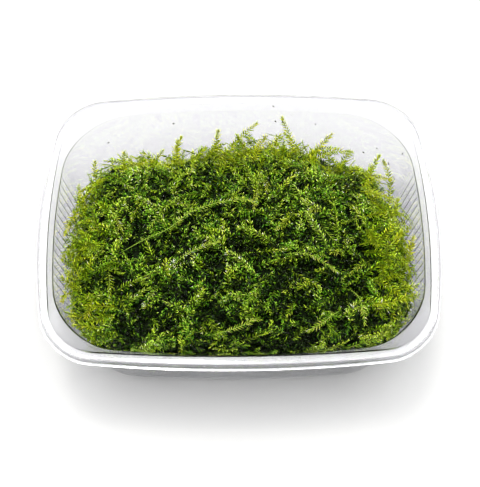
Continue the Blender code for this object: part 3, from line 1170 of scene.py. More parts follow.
# The habits of the tangle's shoots, of the sprigs and of the long stems
FROND = Habit(stations=8, ranks=(-84.0, 84.0, 5.0), leaf_length=2.8, leaf_width=0.9, stem=0.17, tumble=0.22)
TUFT = Habit(stations=5, ranks=(0.0, 95.0, 180.0, 265.0), leaf_length=2.5, leaf_width=0.85, spread=62.0)
PLUME = Habit(stations=15, ranks=(-86.0, 86.0, 10.0), leaf_length=2.7, leaf_width=0.85, stem=0.22, tumble=0.2)
FRINGE = Habit(stations=11, ranks=(-82.0, 82.0), leaf_length=3.0, leaf_width=0.9, stem=0.26, tumble=0.2)
SPRIG = Habit(ranks=(-84.0, 84.0), leaf_length=3.0, leaf_width=0.8, spread=57.0, stem=0.3, tumble=0.2)
SMALL_SPRIG = replace(SPRIG, leaf_length=2.4, leaf_width=0.75, stem=0.24)
LONG_STEM = Habit(
    ranks=(-78.0, 78.0), leaf_length=2.7, leaf_width=0.85, stem=0.2, foot_size=0.3, full_at=0.9
)


def curve_through(places: Sequence[Sequence[float]], count: int) -> np.ndarray:
    """Points on the smooth curve through control points.

    Args:
        places: The control points.
        count: How many points are wanted.

    Returns:
        The points, one a row.
    """
    controls = np.asarray(places, float)
    spans = len(controls) - 1
    rows = []
    for share in np.linspace(0, 1, count):
        span = min(int(share * spans), spans - 1)
        t = share * spans - span
        before, start = controls[max(span - 1, 0)], controls[span]
        end, after = controls[span + 1], controls[min(span + 2, spans)]
        slope = (end - before) * t
        bend = (2 * before - 5 * start + 4 * end - after) * t**2
        twist = (3 * start - before - 3 * end + after) * t**3
        rows.append(0.5 * (2 * start + slope + bend + twist))
    return np.array(rows)


# The tangle


@dataclass
class Tangle:
    """The face of the CAD cushion: where shoots may stand, and which way is out."""

    node: bpy.types.Object
    # How far a face's normal points up, from 0 to 1, where the top starts and the wall ends
    top_up: float = 0.3
    wall_up: float = -0.5
    # The edge zone lies beyond this x or y and above this height, in mm
    edge_start: Place = (62.0, 36.0, 35.0)
    # Places tried for each one that is wanted
    tries: int = 5
    # A height over everything, in mm
    overhead: float = 200.0
    corners: np.ndarray = field(init=False)
    corner_normals: np.ndarray = field(init=False)
    areas: np.ndarray = field(init=False)
    tree: BVHTree = field(init=False)

    def __post_init__(self) -> None:
        """Read the faces of the CAD node."""
        mesh = self.node.data
        mesh.calc_loop_triangles()
        places = np.zeros(len(mesh.vertices) * 3)
        mesh.vertices.foreach_get("co", places)
        places = places.reshape(-1, 3)
        triangles = np.zeros(len(mesh.loop_triangles) * 3, dtype=np.int32)
        mesh.loop_triangles.foreach_get("vertices", triangles)
        triangles = triangles.reshape(-1, 3)
        self.corners = places[triangles]
        cross = np.cross(self.corners[:, 1] - self.corners[:, 0], self.corners[:, 2] - self.corners[:, 0])
        self.areas = np.linalg.norm(cross, axis=1) / 2
        spots, homes = np.unique(np.round(places / (HAIR * MM)), axis=0, return_inverse=True)
        homes = homes.ravel()[triangles]
        smooth = np.zeros((len(spots), 3))
        for corner in range(3):
            np.add.at(smooth, homes[:, corner], cross)
        self.corner_normals = unit(smooth)[homes]
        self.tree = BVHTree.FromPolygons([tuple(v) for v in places], [tuple(t) for t in triangles])

    def in_zone(self, zone: Zone) -> np.ndarray:
        """Find the faces of a zone.

        Args:
            zone: Where on the tangle.

        Returns:
            Whether each face belongs to it.
        """
        up = self.corner_normals[:, :, 2].mean(axis=1)
        if zone is Zone.TOP:
            return up > self.top_up
        if zone is Zone.FLOOR:
            return up < self.wall_up
        if zone is Zone.WALL:
            return (up <= self.top_up) & (up >= self.wall_up)
        middle = self.corners.mean(axis=1)
        x, y, z = (limit * MM for limit in self.edge_start)
        outer = np.maximum(np.abs(middle[:, 0]) - x, middle[:, 1] - y) > 0
        return (up > 0.0) & outer & (middle[:, 2] > z)

    def seeds(
        self, zone: Zone, count: int, spacing: float, rng: np.random.Generator
    ) -> tuple[np.ndarray, np.ndarray]:
        """Places for shoots, no two closer than a spacing.

        Args:
            zone: Where on the tangle.
            count: How many places are wanted at most.
            spacing: The least distance between two of them, in mm.
            rng: Where the choice comes from.

        Returns:
            The places and the outward normals there.
        """
        weights = self.areas * self.in_zone(zone)
        picks = rng.choice(len(weights), size=count * self.tries, p=weights / weights.sum())
        shares = rng.random((len(picks), 2))
        fold = shares.sum(axis=1) > 1
        shares[fold] = 1 - shares[fold]
        shares = np.column_stack([1 - shares.sum(axis=1), shares])[:, :, None]
        places = (self.corners[picks] * shares).sum(axis=1)
        normals = unit((self.corner_normals[picks] * shares).sum(axis=1))
        keep = self.thinned(places, spacing * MM, count)
        return places[keep], normals[keep]

    @staticmethod
    def thinned(places: np.ndarray, spacing: float, count: int) -> list[int]:
        """Choose places that keep their distance from those before them.

        Args:
            places: The places, one a row.
            spacing: The least distance, in metres.
            count: How many are wanted at most.

        Returns:
            The numbers of the places that stay.
        """
        cells: dict[tuple[int, ...], list[int]] = {}
        keep: list[int] = []
        for number, place in enumerate(places):
            home = tuple(int(v) for v in np.floor(place / spacing))
            near = [
                other
                for dx, dy, dz in product((-1, 0, 1), repeat=3)
                for other in cells.get((home[0] + dx, home[1] + dy, home[2] + dz), ())
            ]
            if all(math.dist(places[other], place) >= spacing for other in near):
                cells.setdefault(home, []).append(number)
                keep.append(number)
            if len(keep) == count:
                break
        return keep

    def sunk(self, points: np.ndarray, depths: np.ndarray) -> tuple[np.ndarray, np.ndarray]:
        """Push points under the tangle's face where they aren't deep enough.

        Args:
            points: The points.
            depths: The least depth of each, in metres, where above the face is negative.

        Returns:
            The points and the depths that they have then.
        """
        moved = points.copy()
        reached = depths.copy()
        for number, (point, depth) in enumerate(zip(points, depths)):
            spot, normal, _, _ = self.tree.find_nearest(Vector(point))
            has = (spot - Vector(point)).dot(normal)
            if has < depth:
                moved[number] = np.array(Vector(point) - normal * (depth - has))
            else:
                reached[number] = has
        return moved, reached

    def height_at(self, x: float, y: float) -> float:
        """Height of the tangle's face over a place of the plan, all in metres."""
        start = Vector((x, y, self.overhead * MM))
        return self.tree.ray_cast(start, Vector((0, 0, -1)))[0].z


@dataclass(frozen=True)
class Stand:
    """One population of shoots of the tangle. Lengths are in mm and angles in degrees."""

    name: str
    zone: Zone
    count: int
    spacing: float
    length: tuple[float, float]
    tip_depth: tuple[float, float]
    # How much deeper than the tip the foot lies at least
    dive: float
    # How steeply a shoot rises at its tip, and how much more at its foot
    lift: tuple[float, float]
    arch: tuple[float, float]
    tone: float
    habit: Habit
    # How much chance turns a shoot's upper side, and how many points its path has
    roll: float = 0.3
    knots: int = 5


# The tangle's populations, with their values in the order of Stand's fields
STANDS = (
    Stand("canopy", Zone.TOP, 2800, 1.5, (9, 13), (0.2, 2.6), 3.5, (4, 45), (0, 40), 0.55, FROND, 0.3, 4),
    Stand("tufts", Zone.TOP, 1300, 2.2, (5, 8), (0.2, 2.4), 4.0, (35, 85), (-10, 10), 0.5, TUFT, 0.8),
    Stand("understory", Zone.TOP, 700, 2.8, (9, 13), (3.8, 6.5), 2.0, (2, 30), (0, 20), 0.3, FROND, 0.4, 4),
    Stand("plumes", Zone.TOP, 230, 6.2, (17, 24), (-0.3, 0.8), 3.5, (0, 12), (0, 14), 0.6, PLUME, 0.3, 7),
    Stand("fringe", Zone.EDGE, 480, 2.8, (11, 17), (-6.5, 0.2), 4.0, (8, 65), (0, 30), 0.3, FRINGE, 0.3, 6),
    Stand("wall", Zone.WALL, 1350, 3.0, (10, 14), (0.2, 2.0), 3.0, (2, 18), (0, 20), 0.55, FROND, 0.3, 4),
    Stand("floor", Zone.FLOOR, 230, 5.5, (10, 14), (0.3, 1.2), 1.0, (1, 8), (0, 8), 0.35, FROND, 0.3, 4),
)


@dataclass
class Moss:
    """The tangle of the moss: its dark heart and the leafy shoots over it. Lengths are in mm."""

    tangle: Tangle
    tub: Tub
    blade: LeafBlade
    # Triangles that one piece may have
    piece_limit: int = 190_000
    stands: tuple[Stand, ...] = STANDS
    # Stands whose leaves have the fresh finish, and stands that leave the dark gaps open
    fresh_stands: tuple[str, ...] = ("fringe",)
    gapped_stands: tuple[str, ...] = ("canopy", "tufts")
    # Dark gaps between the tufts as x and y, the darkest first, as measured in the photograph
    hollows: tuple[tuple[float, float], ...] = (
        (39, -26), (40, -37), (50, -54), (27, -35), (-48, -26), (38, -47), (-9, -19), (18, -39),
        (30, -52), (30, -21), (6, -44), (-5, -48), (-14, -18), (1, -45), (57, -15), (50, -17),
        (0, -24), (12, -12), (19, -54), (54, -33), (0, -7), (-44, -39), (25, -42), (-45, -49),
        (-41, -44), (-13, -25), (8, -1), (-23, -31), (-42, -50), (-13, -41), (-17, -53), (-39, -11),
        (42, -4), (64, -30), (-48, -10), (-31, 9), (-22, -21), (54, -10), (-50, -45), (-34, -29),
        (-51, -31), (22, -21), (-27, -6), (5, -52), (-30, -44), (57, -43), (28, -3), (5, -11),
    )
    hollow_width: float = 3.8
    hollow_depth: float = 2.8
    hollow_share: float = 0.95
    hollow_above: float = 40.0
    # Where the tangle stands higher (-) or lower (+) than its usual face, as x, y, radius and depth
    relief: tuple[tuple[float, float, float, float], ...] = (
        (0, 46, 9, -3.0), (16, 47, 10, -4.5), (32, 45, 8, -3.0), (-38, 46, 13, 4.5), (-56, 38, 9, 3.5),
        (51, 37, 11, 10.0), (62, 29, 9, 6.5), (75, 20, 8, 5.0), (76, -38, 10, -3.0),
    )
    # Heights between which the relief sets in
    relief_rise: tuple[float, float] = (20.0, 45.0)
    lump_size: float = 7.0
    lump_depth: float = 3.4
    highest_lump: float = -0.25
    heart_depth: float = 8.0
    heart_middle: Place = (0.0, -10.0, 20.0)
    heart_lowering: float = 1.3
    heart_clump: float = 3.0
    heart_clump_level: float = 0.6
    bend_jitter: float = 0.35
    bend_middle: float = 0.3
    dive_power: float = 1.4
    knot_gap: float = 1.0
    # The shoots lie in swirls, those at the edge point outwards and those on the wall upwards
    swirl_size: float = 18.0
    swirl_turns: float = 1.3
    swirl_jitter: float = 0.9
    outward_squash: Place = (1.0, 1.3, 0.0)
    edge_outward: float = 1.2
    wall_upward: float = 0.8
    # What patches, painted light at the edge, painted shade in the gaps and chance add to the age of a
    # stand's leaves
    patch_size: float = 11.0
    patch_tone: float = 0.25
    base_tone: float = 0.04
    edge_painted_light: float = 0.02
    hollow_painted_shade: float = -0.15
    tone_jitter: float = 0.14
    # Painted shade: what depth takes off the age, and the depths between which it does
    painted_depth_shade: float = 0.8
    painted_shade_depths: tuple[float, float] = (0.6, 4.2)
    oldest: float = 0.02

    def build(self) -> None:
        """Build the heart and every stand of shoots."""
        self.build_heart()
        mat, fresh = MAT_LEAF.material(), EDGE_LEAF.material()
        rng = np.random.default_rng(SEED)
        for stand in self.stands:
            finish = fresh if stand.name in self.fresh_stands else mat
            bundles = self.grow(stand, rng)
            for number, bundle in enumerate(bundles, start=1):
                name = f"moss_{stand.name}" if len(bundles) == 1 else f"moss_{stand.name}_{number}"
                settle(bundle.piece(name, finish), Slot.MOSS, "moss_cushion")

    def build_heart(self) -> None:
        """Shrink a copy of the cushion into the shaded inside of the tangle."""
        heart = self.tangle.node.copy()
        heart.data = self.tangle.node.data.copy()
        heart.name = "moss_heart"
        heart.parent = None
        # The CAD node's own marks come off, so that the copy is a piece of the scene
        for key in list(heart.keys()):
            del heart[key]
        bpy.context.scene.collection.objects.link(heart)
        bpy.ops.object.select_all(action="DESELECT")
        heart.select_set(True)
        bpy.context.view_layer.objects.active = heart
        bpy.ops.object.mode_set(mode="EDIT")
        bpy.ops.mesh.select_all(action="SELECT")
        bpy.ops.mesh.remove_doubles(threshold=HAIR * MM)
        bpy.ops.mesh.subdivide(number_cuts=1)
        bpy.ops.object.mode_set(mode="OBJECT")
        shrink = heart.modifiers.new("Under the leaves", "DISPLACE")
        shrink.mid_level = 0
        shrink.strength = -self.heart_depth * MM
        lumps = heart.modifiers.new("Clumps", "DISPLACE")
        lumps.texture = bpy.data.textures.new("clumps", "CLOUDS")
        lumps.texture.noise_scale = self.lump_size * MM
        lumps.texture_coords = "LOCAL"
        lumps.strength = self.heart_clump * MM
        lumps.mid_level = self.heart_clump_level
        for modifier in (shrink, lumps):
            bpy.ops.object.modifier_apply(modifier=modifier.name)
        places = np.array([vert.co for vert in heart.data.vertices])
        outward = unit(places - np.array(self.heart_middle) * MM)
        deeper = np.maximum(self.lowered(places + outward * self.heart_depth * MM), 0) * self.heart_lowering
        for vert, heading, depth in zip(heart.data.vertices, outward, deeper):
            vert.co -= Vector(heading) * depth
        # Old wet moss, nearly black as painted shade under the leaves
        heart.data.materials.clear()
        heart.data.materials.append(OLD_MOSS_AND_SHADE.material())
        bpy.ops.object.shade_smooth()
        settle(heart, Slot.MOSS, "moss_cushion")

    def lowered(self, places: np.ndarray) -> np.ndarray:
        """How far the tangle's face lies under its usual place, in metres.

        Args:
            places: Places on the face, one a row.

        Returns:
            The depths, negative where the face stands higher.
        """
        start, full = self.relief_rise
        depth = np.zeros(len(places))
        for x, y, radius, down in self.relief:
            depth += down * MM * nearness(places, x, y, radius)
        return depth * smooth_step(places[:, 2], start * MM, full * MM)

    def hollowness(self, places: np.ndarray) -> np.ndarray:
        """How much places lie in the dark gaps, from 0 to 1."""
        share = np.max([nearness(places, x, y, self.hollow_width) for x, y in self.hollows], axis=0)
        return share * (places[:, 2] > self.hollow_above * MM)

    def grow(self, stand: Stand, rng: np.random.Generator) -> list[Strands]:
        """Grow one stand of shoots.

        Args:
            stand: The population.
            rng: Where the small differences come from.

        Returns:
            The strands, in bundles that each keep under the limit of a piece.
        """
        places, normals = self.tangle.seeds(stand.zone, stand.count, stand.spacing, rng)
        if stand.name in self.gapped_stands:
            keep = rng.random(len(places)) > self.hollow_share * self.hollowness(places)
            places, normals = places[keep], normals[keep]
        paths, depths = self.paths(stand, places, normals, rng)
        tones = self.tones(stand, places, depths - self.lowered(places)[:, None], rng)
        ups = unit(normals + rng.normal(0, stand.roll, normals.shape))
        leaves = stand.habit.stations * len(stand.habit.ranks)
        triangles = leaves * len(self.blade.faces) + 6 * (stand.knots - 1) + 2
        share = max(1, self.piece_limit // triangles)
        order = np.argsort(places[:, 0], kind="stable")
        bundles = []
        for start in range(0, len(order), share):
            rows = order[start : start + share]
            bundle = stand.habit.strands(self.blade, Shoots(paths[rows], ups[rows], tones[rows]), rng)
            bundle.points = self.tub.pressed_in(bundle.points)
            bundles.append(bundle)
        return bundles

    def paths(
        self, stand: Stand, places: np.ndarray, normals: np.ndarray, rng: np.random.Generator
    ) -> tuple[np.ndarray, np.ndarray]:
        """Points along each shoot, from its hidden foot to its tip near the tangle's face.

        Args:
            stand: The population.
            places: Where the tips are, on the tangle's face.
            normals: The way out there.
            rng: Where the small differences come from.

        Returns:
            The points, as shoots x points x 3, and how deep each lies.
        """
        count = len(places)
        lying = self.lying(stand, places, normals, rng)
        length = rng.uniform(*stand.length, count)[:, None] * MM
        depth = rng.uniform(*stand.tip_depth, count) * MM
        lumps = np.maximum(lumpiness(places, self.lump_size), self.highest_lump)
        depth = depth + (self.lump_depth * lumps + self.hollow_depth * self.hollowness(places)) * MM
        depth = depth + self.lowered(places)
        lift = np.radians(rng.uniform(*stand.lift, count))[:, None]
        arch = np.radians(rng.uniform(*stand.arch, count))[:, None]
        bend = np.cross(normals, lying) * rng.normal(0, self.bend_jitter, (count, 1))
        knots = [places - normals * depth[:, None]]
        depths = [depth]
        for step in range(1, stand.knots):
            share = step / (stand.knots - 1)
            slope = lift + arch * share
            heading = lying * np.cos(slope) + normals * np.sin(slope) + bend * (share - self.bend_middle)
            knot = knots[-1] - unit(heading) * length / (stand.knots - 1)
            knot, has = self.tangle.sunk(knot, depth + stand.dive * MM * share**self.dive_power)
            knots.append(self.tub.pressed_in(knot, self.knot_gap))
            depths.append(has)
        return np.stack(knots[::-1], axis=1), np.stack(depths[::-1], axis=1)

    def lying(
        self, stand: Stand, places: np.ndarray, normals: np.ndarray, rng: np.random.Generator
    ) -> np.ndarray:
        """The way each shoot points, in the plane of the tangle's face.

        Args:
            stand: The population.
            places: Where the tips are, on the tangle's face.
            normals: The way out there.
            rng: Where the small differences come from.

        Returns:
            The ways, one a row.
        """
        swirl = lumpiness(places, self.swirl_size) * 2 * self.swirl_turns * math.pi
        turn = swirl + rng.normal(0, self.swirl_jitter, len(places)) + math.pi / 2
        flat = np.column_stack([np.cos(turn), np.sin(turn), np.zeros(len(turn))])
        outward = unit(places * np.array(self.outward_squash))
        edge = edge_share(places)[:, None]
        upward = np.array([0, 0, self.wall_upward if stand.zone is Zone.WALL else 0.0])
        flat = unit(flat + outward * edge * self.edge_outward + upward)
        return unit(flat - normals * np.sum(flat * normals, axis=1, keepdims=True))

    def tones(
        self, stand: Stand, places: np.ndarray, depths: np.ndarray, rng: np.random.Generator
    ) -> np.ndarray:
        """The age of the leaves along each shoot, with painted shade deep in the tangle and in its gaps and
        painted light at its edge.

        Args:
            stand: The population.
            places: Where the tips are, on the tangle's face.
            depths: How deep each point of each shoot lies, in metres.
            rng: Where the small differences come from.

        Returns:
            The ages, from 0 for old or darkest in painted shade to FRESHEST, as shoots x points.
        """
        tones = stand.tone + self.base_tone + self.patch_tone * lumpiness(places, self.patch_size)
        # Painted light at the tangle's edge and painted shade in its gaps
        tones = tones + self.edge_painted_light * edge_share(places) + self.hollow_painted_shade * self.hollowness(places)
        tones = tones + rng.normal(0, self.tone_jitter, len(places))
        # Painted shade: the deeper a leaf lies, the darker it is painted
        start, full = self.painted_shade_depths
        painted_depth_shade = self.painted_depth_shade * smooth_step(depths, start * MM, full * MM)
        return np.clip(tones[:, None] - painted_depth_shade, self.oldest, FRESHEST)


# Sprigs and stems


@dataclass
class Sprigs:
    """The leafy sprigs that stand out of the tangle and the long stems that lie over it."""

    tangle: Tangle
    tub: Tub
    blade: LeafBlade
    sprig_spacing: float = 1.2
    stem_spacing: float = 1.4
    least_stations: int = 4
    sprig_knots: int = 10
    small_knots: int = 8
    stem_knots: int = 16
    # The least age at the middle, what chance adds to it at most, and its rise from there to the tip
    sprig_ages: Place = (0.5, 0.3, 0.15)
    small_ages: Place = (0.35, 0.4, 0.1)
    stem_ages: tuple[float, float] = (0.4, 0.85)
    sprig_up: Place = (0.0, -0.5, 0.86)
    stem_up: Place = (0.0, 0.0, 1.0)
    # Foot, middle and tip as x, y and depth below the rim
    standing: tuple[Places, ...] = (
        ((-65, 22, 20), (-67, 29, 13), (-67, 35, 9)),
        ((-53, 30, 18), (-54, 35, 11), (-53, 39, 7)),
        ((-37, 33, 16), (-41, 39, 12), (-46, 42, 13)),
        ((-30, 37, 18), (-29, 43, 12), (-27, 48, 9)),
        ((-22, 36, 16), (-18, 40, 10), (-15, 43, 10)),
        ((-8, 38, 17), (-10, 43, 9), (-9, 48, 3)),
        ((-6, 40, 15), (0, 46, 8), (9, 51, 2)),
        ((7, 37, 16), (10, 41, 9), (13, 46, 5)),
        ((25, 38, 17), (25, 46, 9), (21, 54, 2)),
        ((18, 38, 17), (18, 42, 9), (20, 47, 6)),
        ((33, 36, 17), (38, 41, 8), (44, 46, 4)),
        ((34, 36, 14), (43, 39.5, 9), (53, 40, 10)),
        ((48, 34, 15), (52, 40, 14.5), (56, 45, 19)),
        ((59, 24, 19), (63, 31, 11), (66, 36, 7)),
        ((70, 12, 20), (71.5, 24, 13), (68, 34, 8)),
        ((69, 3, 22), (72, 9, 13), (73, 14, 8)),
        ((74, -20, 24), (77, -12, 14), (78.5, -5, 8)),
        ((-72, 16, 20), (-77, 7, 12), (-79, 0, 13)),
        ((-72, -4, 22), (-77, -7, 13), (-79, -13, 11)),
        ((-72, -25, 20), (-76, -29, 12), (-77.5, -33, 10)),
    )
    # The smaller shoots between the sprigs, which no CAD node stands for, in the same way
    between: tuple[Places, ...] = (
        ((-4.5, 44, 13), (2.5, 47, 7), (7, 46, 7)),
        ((7, 41, 17), (2.5, 44, 11), (-0.5, 47, 5)),
        ((30, 43, 16), (26, 45, 9), (22, 47, 4)),
        ((22, 41, 17), (21.5, 43, 12), (22, 45, 9)),
        ((31, 41, 16), (39, 42, 11), (47, 41.5, 9)),
        ((35, 43, 15), (42, 39, 11), (48.5, 32, 11)),
        ((-79, 4, 19), (-71.5, 18, 11), (-62, 26.5, 9)),
        ((-29.5, 39, 17), (-29, 42, 11), (-28, 45, 7)),
        ((-42, 37, 17), (-38, 38, 11), (-35, 40, 7)),
        ((-16, 39, 16), (-12, 41, 11), (-11, 44, 9)),
        ((13, 41, 16), (15, 44, 11), (18, 45, 10)),
        ((-50, 33, 17), (-47, 35, 12), (-43, 36, 10)),
        ((60, 26, 18), (66, 27, 12), (71, 25, 10)),
        ((-71, 12, 19), (-74, 18, 13), (-74, 24, 11)),
    )
    # Foot to tip as x, y and lift above the tangle
    trailing: tuple[Places, ...] = (
        (
            (-53, -10, -3), (-42, -6, 2), (-31, -1, 2.2), (-20, 7, 2.4),
            (-9, 11, 2.4), (2, 12, 2.4), (8, 10, 1.6),
        ),
        ((-34, -20, -6), (-25, -15, 2.2), (-17, -11, 2.4), (-9, -8, 2.2)),
        ((17, -12, -6), (26, -14, 2.2), (35, -17, 2.4), (43, -23, 2.2)),
        ((-15, -49, -6), (-8, -50, 2.4), (-1, -48, 2.4), (6, -45, 2.2)),
        ((48, -27, -6), (51, -34, 2.4), (53, -40, 2.4), (54, -46, 2.4)),
        ((45, -38, -6), (40, -43, 2.4), (35, -47, 2.4), (29, -50, 2.2)),
    )

    def build(self) -> None:
        """Build a leafy piece in the place of each CAD sprig and stem, and the small shoots between."""
        fresh, pale = SPRIG_LEAF.material(), STEM_LEAF.material()
        rng = np.random.default_rng(SEED + 1)
        for number, path in enumerate(self.standing, start=1):
            strands = self.sprig(path, SPRIG, self.sprig_knots, self.sprig_ages, rng)
            strands.points = self.tub.pressed_in(strands.points)
            settle(strands.piece(f"leafy_sprig_{number:02d}", fresh), Slot.SPRIG, f"sprig_{number:02d}")
        small = [
            self.sprig(path, SMALL_SPRIG, self.small_knots, self.small_ages, rng) for path in self.between
        ]
        strands = Strands.joined(small)
        strands.points = self.tub.pressed_in(strands.points)
        settle(strands.piece("leafy_shoots_between", fresh), Slot.SPRIG)
        for number, path in enumerate(self.trailing, start=1):
            name = f"trailing_stem_{number:02d}"
            settle(self.stem(path, rng).piece(f"leafy_{name}", pale), Slot.STEM, name)

    def sprig(
        self, path: Places, habit: Habit, knots: int, ages: Place, rng: np.random.Generator
    ) -> Strands:
        """Grow one sprig.

        Args:
            path: Its foot, middle and tip as x, y and depth below the rim.
            habit: How its leaves sit.
            knots: How many points its stem has.
            ages: Its least age, what chance adds to it at most, and its rise to the tip.
            rng: Where the small differences come from.

        Returns:
            Its leaves and stem.
        """
        places = [(x * MM, y * MM, (self.tub.height - depth) * MM) for x, y, depth in path]
        least, chance, rise = ages
        tone = np.clip(least + chance * rng.random() + np.linspace(-rise, rise, knots), 0, FRESHEST)
        points = curve_through(places, knots)
        return self.leafy(points, tone, self.sprig_up, habit, self.sprig_spacing, rng)

    def stem(self, path: Places, rng: np.random.Generator) -> Strands:
        """Lay one long stem over the tangle.

        Args:
            path: Its points from foot to tip as x, y and lift above the tangle.
            rng: Where the small differences come from.

        Returns:
            Its leaves and stem.
        """
        points = curve_through([(x * MM, y * MM, lift * MM) for x, y, lift in path], self.stem_knots)
        for point in points:
            point[2] += self.tangle.height_at(point[0], point[1])
        tone = np.linspace(*self.stem_ages, self.stem_knots)
        return self.leafy(points, tone, self.stem_up, LONG_STEM, self.stem_spacing, rng)

    def leafy(
        self,
        points: np.ndarray,
        tone: np.ndarray,
        up: Place,
        habit: Habit,
        spacing: float,
        rng: np.random.Generator,
    ) -> Strands:
        """Clothe one shoot with as many leaves as its length holds.

        Args:
            points: The points along it, one a row.
            tone: The age of its leaves at each point.
            up: The way that its upper side faces.
            habit: How its leaves sit.
            spacing: The distance between two leaves of a rank, in mm.
            rng: Where the small differences come from.

        Returns:
            Its leaves and stem.
        """
        length = np.linalg.norm(np.diff(points, axis=0), axis=1).sum()
        stations = max(self.least_stations, round(length / (spacing * MM)))
        shoots = Shoots(points[None], np.array([up]), tone[None])
        return replace(habit, stations=stations).strands(self.blade, shoots, rng)


@dataclass
class Crumbs:
    """Small crumbs of dried moss that stick to the inside of the tub's wall and rim."""

    tub: Tub
    # x, y, height, length and tilt in degrees of each crumb
    places: tuple[tuple[float, float, float, float, float], ...] = (
        (-30.9, 58.4, 56.4, 0.9, 60), (-63.0, 52.0, 48.8, 0.8, 10), (17.0, 61.3, 69.0, 0.9, 20),
        (62.9, 51.2, 38.2, 1.0, 150), (77.5, 38.3, 60.0, 0.9, 80), (73.8, 41.9, 43.7, 1.4, 160),
        (76.9, 35.6, 39.8, 0.9, 30), (76.6, 35.2, 35.2, 1.2, 110), (80.8, 6.8, 47.4, 0.9, 40),
        (-77.2, -36.0, 44.8, 1.2, 20), (18.4, 58.9, 56.7, 1.1, 80), (21.8, 58.7, 56.1, 1.2, 95),
        (37.7, 57.6, 55.7, 0.8, 120), (68.0, 48.5, 47.0, 0.7, 20), (79.6, 22.0, 50.0, 0.8, 70),
    )
    gap: float = 0.25
    radius_share: float = 0.65
    thickness: float = 0.3
    breadth: float = 0.6
    roughness: float = 0.5
    rough_mm: float = 0.35
    # How far apart the crumbs read their noise, so that no two are alike
    noise_step: float = 7.0
    # The tub's half length and width inside, and the y from which a crumb sticks to a long wall
    room: tuple[float, float] = (80.0, 60.0)
    long_wall_from: float = 45.0

    def build(self) -> bpy.types.Object:
        """Shape each crumb, stick it to the sheet and join them.

        Returns:
            The finished piece.
        """
        bpy.ops.object.select_all(action="DESELECT")
        crumbs = [self.crumb(number, *row) for number, row in enumerate(self.places)]
        for crumb in crumbs:
            crumb.select_set(True)
        bpy.context.view_layer.objects.active = crumbs[0]
        bpy.ops.object.join()
        joined = bpy.context.object
        joined.name = "dried_crumbs"
        joined.data.materials.clear()
        joined.data.materials.append(DRIED_CRUMB.material())
        return settle(joined, Slot.MOSS)

    def crumb(
        self, number: int, x: float, y: float, z: float, length: float, tilt: float
    ) -> bpy.types.Object:
        """Shape one crumb from a ball.

        Args:
            number: Its number, which makes its roughness its own.
            x: Its place along the tub, in mm.
            y: Its place across the tub, in mm.
            z: Its height, in mm.
            length: Its length, in mm.
            tilt: How it is turned against the sheet, in degrees.

        Returns:
            The crumb.
        """
        spot = Vector(self.tub.pressed_in(np.array([[x, y, z]]) * MM, self.gap)[0])
        bpy.ops.mesh.primitive_ico_sphere_add(subdivisions=2, radius=length * self.radius_share * MM)
        crumb = bpy.context.object
        own = Vector((number * self.noise_step, 0, 0))
        room_x, room_y = self.room
        outward = Vector((x / room_x, y / room_y if abs(y) > self.long_wall_from else 0, 0)).normalized()
        lie = outward.to_track_quat("Y", "Z").to_matrix() @ Matrix.Rotation(math.radians(tilt), 3, "Y")
        for vert in crumb.data.vertices:
            rough = 1 + self.roughness * noise.noise(vert.co / (self.rough_mm * MM) + own)
            flat = Vector((vert.co.x, vert.co.y * self.thickness, vert.co.z * self.breadth)) * rough
            vert.co = lie @ flat + spot
        return crumb


# The studio


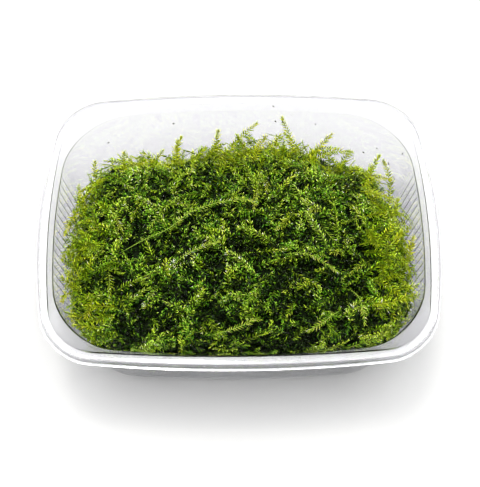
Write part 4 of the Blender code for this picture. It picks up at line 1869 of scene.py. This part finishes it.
@dataclass
class Studio:
    """The pale floor, the soft light and the camera.

    The camera's place is in mm and its aim is a direction, both fitted to the tub in the photograph.
    """

    camera_place: Place = (-0.838, -156.394, 411.301)
    camera_aim: Place = (0.0037584, 0.39151623, -0.92016353)
    focal_px: float = 850.0
    frame_px: int = 487
    sensor_mm: float = 36.0
    nearest_m: float = 0.01
    floor_m: float = 6.0
    floor_colour: str = "#9e9e9e"
    floor_roughness: float = 0.9
    sky: str = "#ffffff"
    horizon_strength: float = 0.7
    dome_strength: float = 13.5
    dome_falloff: float = 11.0
    key_place: Place = (-0.1, 0.14, 1.2)
    key_aim: Place = (0.0, 0.0, 0.05)
    key_size_m: float = 0.2
    key_watts: float = 7.0
    key_colour: str = "#fffdf6"

    def build(self) -> None:
        """Build the studio round the tub."""
        self.build_floor()
        self.build_sky()
        self.build_key()
        self.build_camera()
        bpy.context.scene.view_settings.view_transform = "Standard"

    def build_floor(self) -> None:
        """Lay a plain pale floor of matt white board, which takes soft shadows and doesn't shine."""
        bpy.ops.object.select_all(action="DESELECT")
        bpy.ops.mesh.primitive_plane_add(size=self.floor_m)
        floor = bpy.context.object
        floor.name = "studio_floor"
        made, tree = blank_material("matt_white_board")
        shader = add_node(
            tree,
            "ShaderNodeBsdfPrincipled",
            {"Base Color": linear(self.floor_colour), "Roughness": self.floor_roughness},
        )
        add_node(tree, "ShaderNodeOutputMaterial", links={"Surface": shader.outputs["BSDF"]})
        floor.data.materials.append(made)

    def build_sky(self) -> None:
        """Make the sky a soft light that is strongest overhead and falls off towards the horizon."""
        world = bpy.data.worlds.new("pale studio")
        bpy.context.scene.world = world
        world.use_nodes = True
        tree = world.node_tree
        way = add_node(tree, "ShaderNodeTexCoord")
        parts = add_node(tree, "ShaderNodeSeparateXYZ", links={"Vector": way.outputs["Generated"]})
        height = add_node(tree, "ShaderNodeClamp", links={"Value": parts.outputs["Z"]})
        dome = add_node(
            tree,
            "ShaderNodeMath",
            {1: self.dome_falloff},
            {0: height.outputs["Result"]},
            operation="POWER",
        )
        strength = add_node(
            tree,
            "ShaderNodeMath",
            {1: self.dome_strength, 2: self.horizon_strength},
            {0: dome.outputs["Value"]},
            operation="MULTIPLY_ADD",
        )
        sky = tree.nodes["Background"]
        sky.inputs["Color"].default_value = linear(self.sky)
        tree.links.new(strength.outputs["Value"], sky.inputs["Strength"])

    def build_key(self) -> None:
        """Hang a small square lamp that gives the leaves their glints and shadows."""
        light = bpy.data.lights.new("key", "AREA")
        light.size = self.key_size_m
        light.energy = self.key_watts
        light.color = linear(self.key_colour)[:3]
        lamp = bpy.data.objects.new("key", light)
        bpy.context.scene.collection.objects.link(lamp)
        aim = Vector(self.key_aim) - Vector(self.key_place)
        turn = aim.to_track_quat("-Z", "Y").to_matrix().to_4x4()
        lamp.matrix_world = Matrix.Translation(self.key_place) @ turn

    def build_camera(self) -> None:
        """Put the camera where the photograph was taken from."""
        camera = bpy.data.cameras.new("photo_camera")
        camera.sensor_width = self.sensor_mm
        camera.lens = self.focal_px * self.sensor_mm / self.frame_px
        camera.clip_start = self.nearest_m
        made = bpy.data.objects.new("photo_camera", camera)
        bpy.context.scene.collection.objects.link(made)
        place = Matrix.Translation(Vector(self.camera_place) * MM)
        turn = Vector(self.camera_aim).to_track_quat("-Z", "Y").to_matrix().to_4x4()
        made.matrix_world = place @ turn
        bpy.context.scene.camera = made


def corners(box: Any) -> list[list[float]]:
    """A box's two corners as plain lists of numbers."""
    return [[float(v) for v in corner] for corner in box]


def main() -> None:
    """Dress the frame, piece by piece."""
    logging.basicConfig(level=logging.INFO, format="%(name)s %(message)s")
    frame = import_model()
    Studio().build()
    tub = Tub()
    tub.build()
    tangle = Tangle(frame["nodes"]["moss_cushion"])
    blade = LeafBlade()
    Moss(tangle, tub, blade).build()
    Sprigs(tangle, tub, blade).build()
    Crumbs(tub).build()


if __name__ == "__main__":
    main()
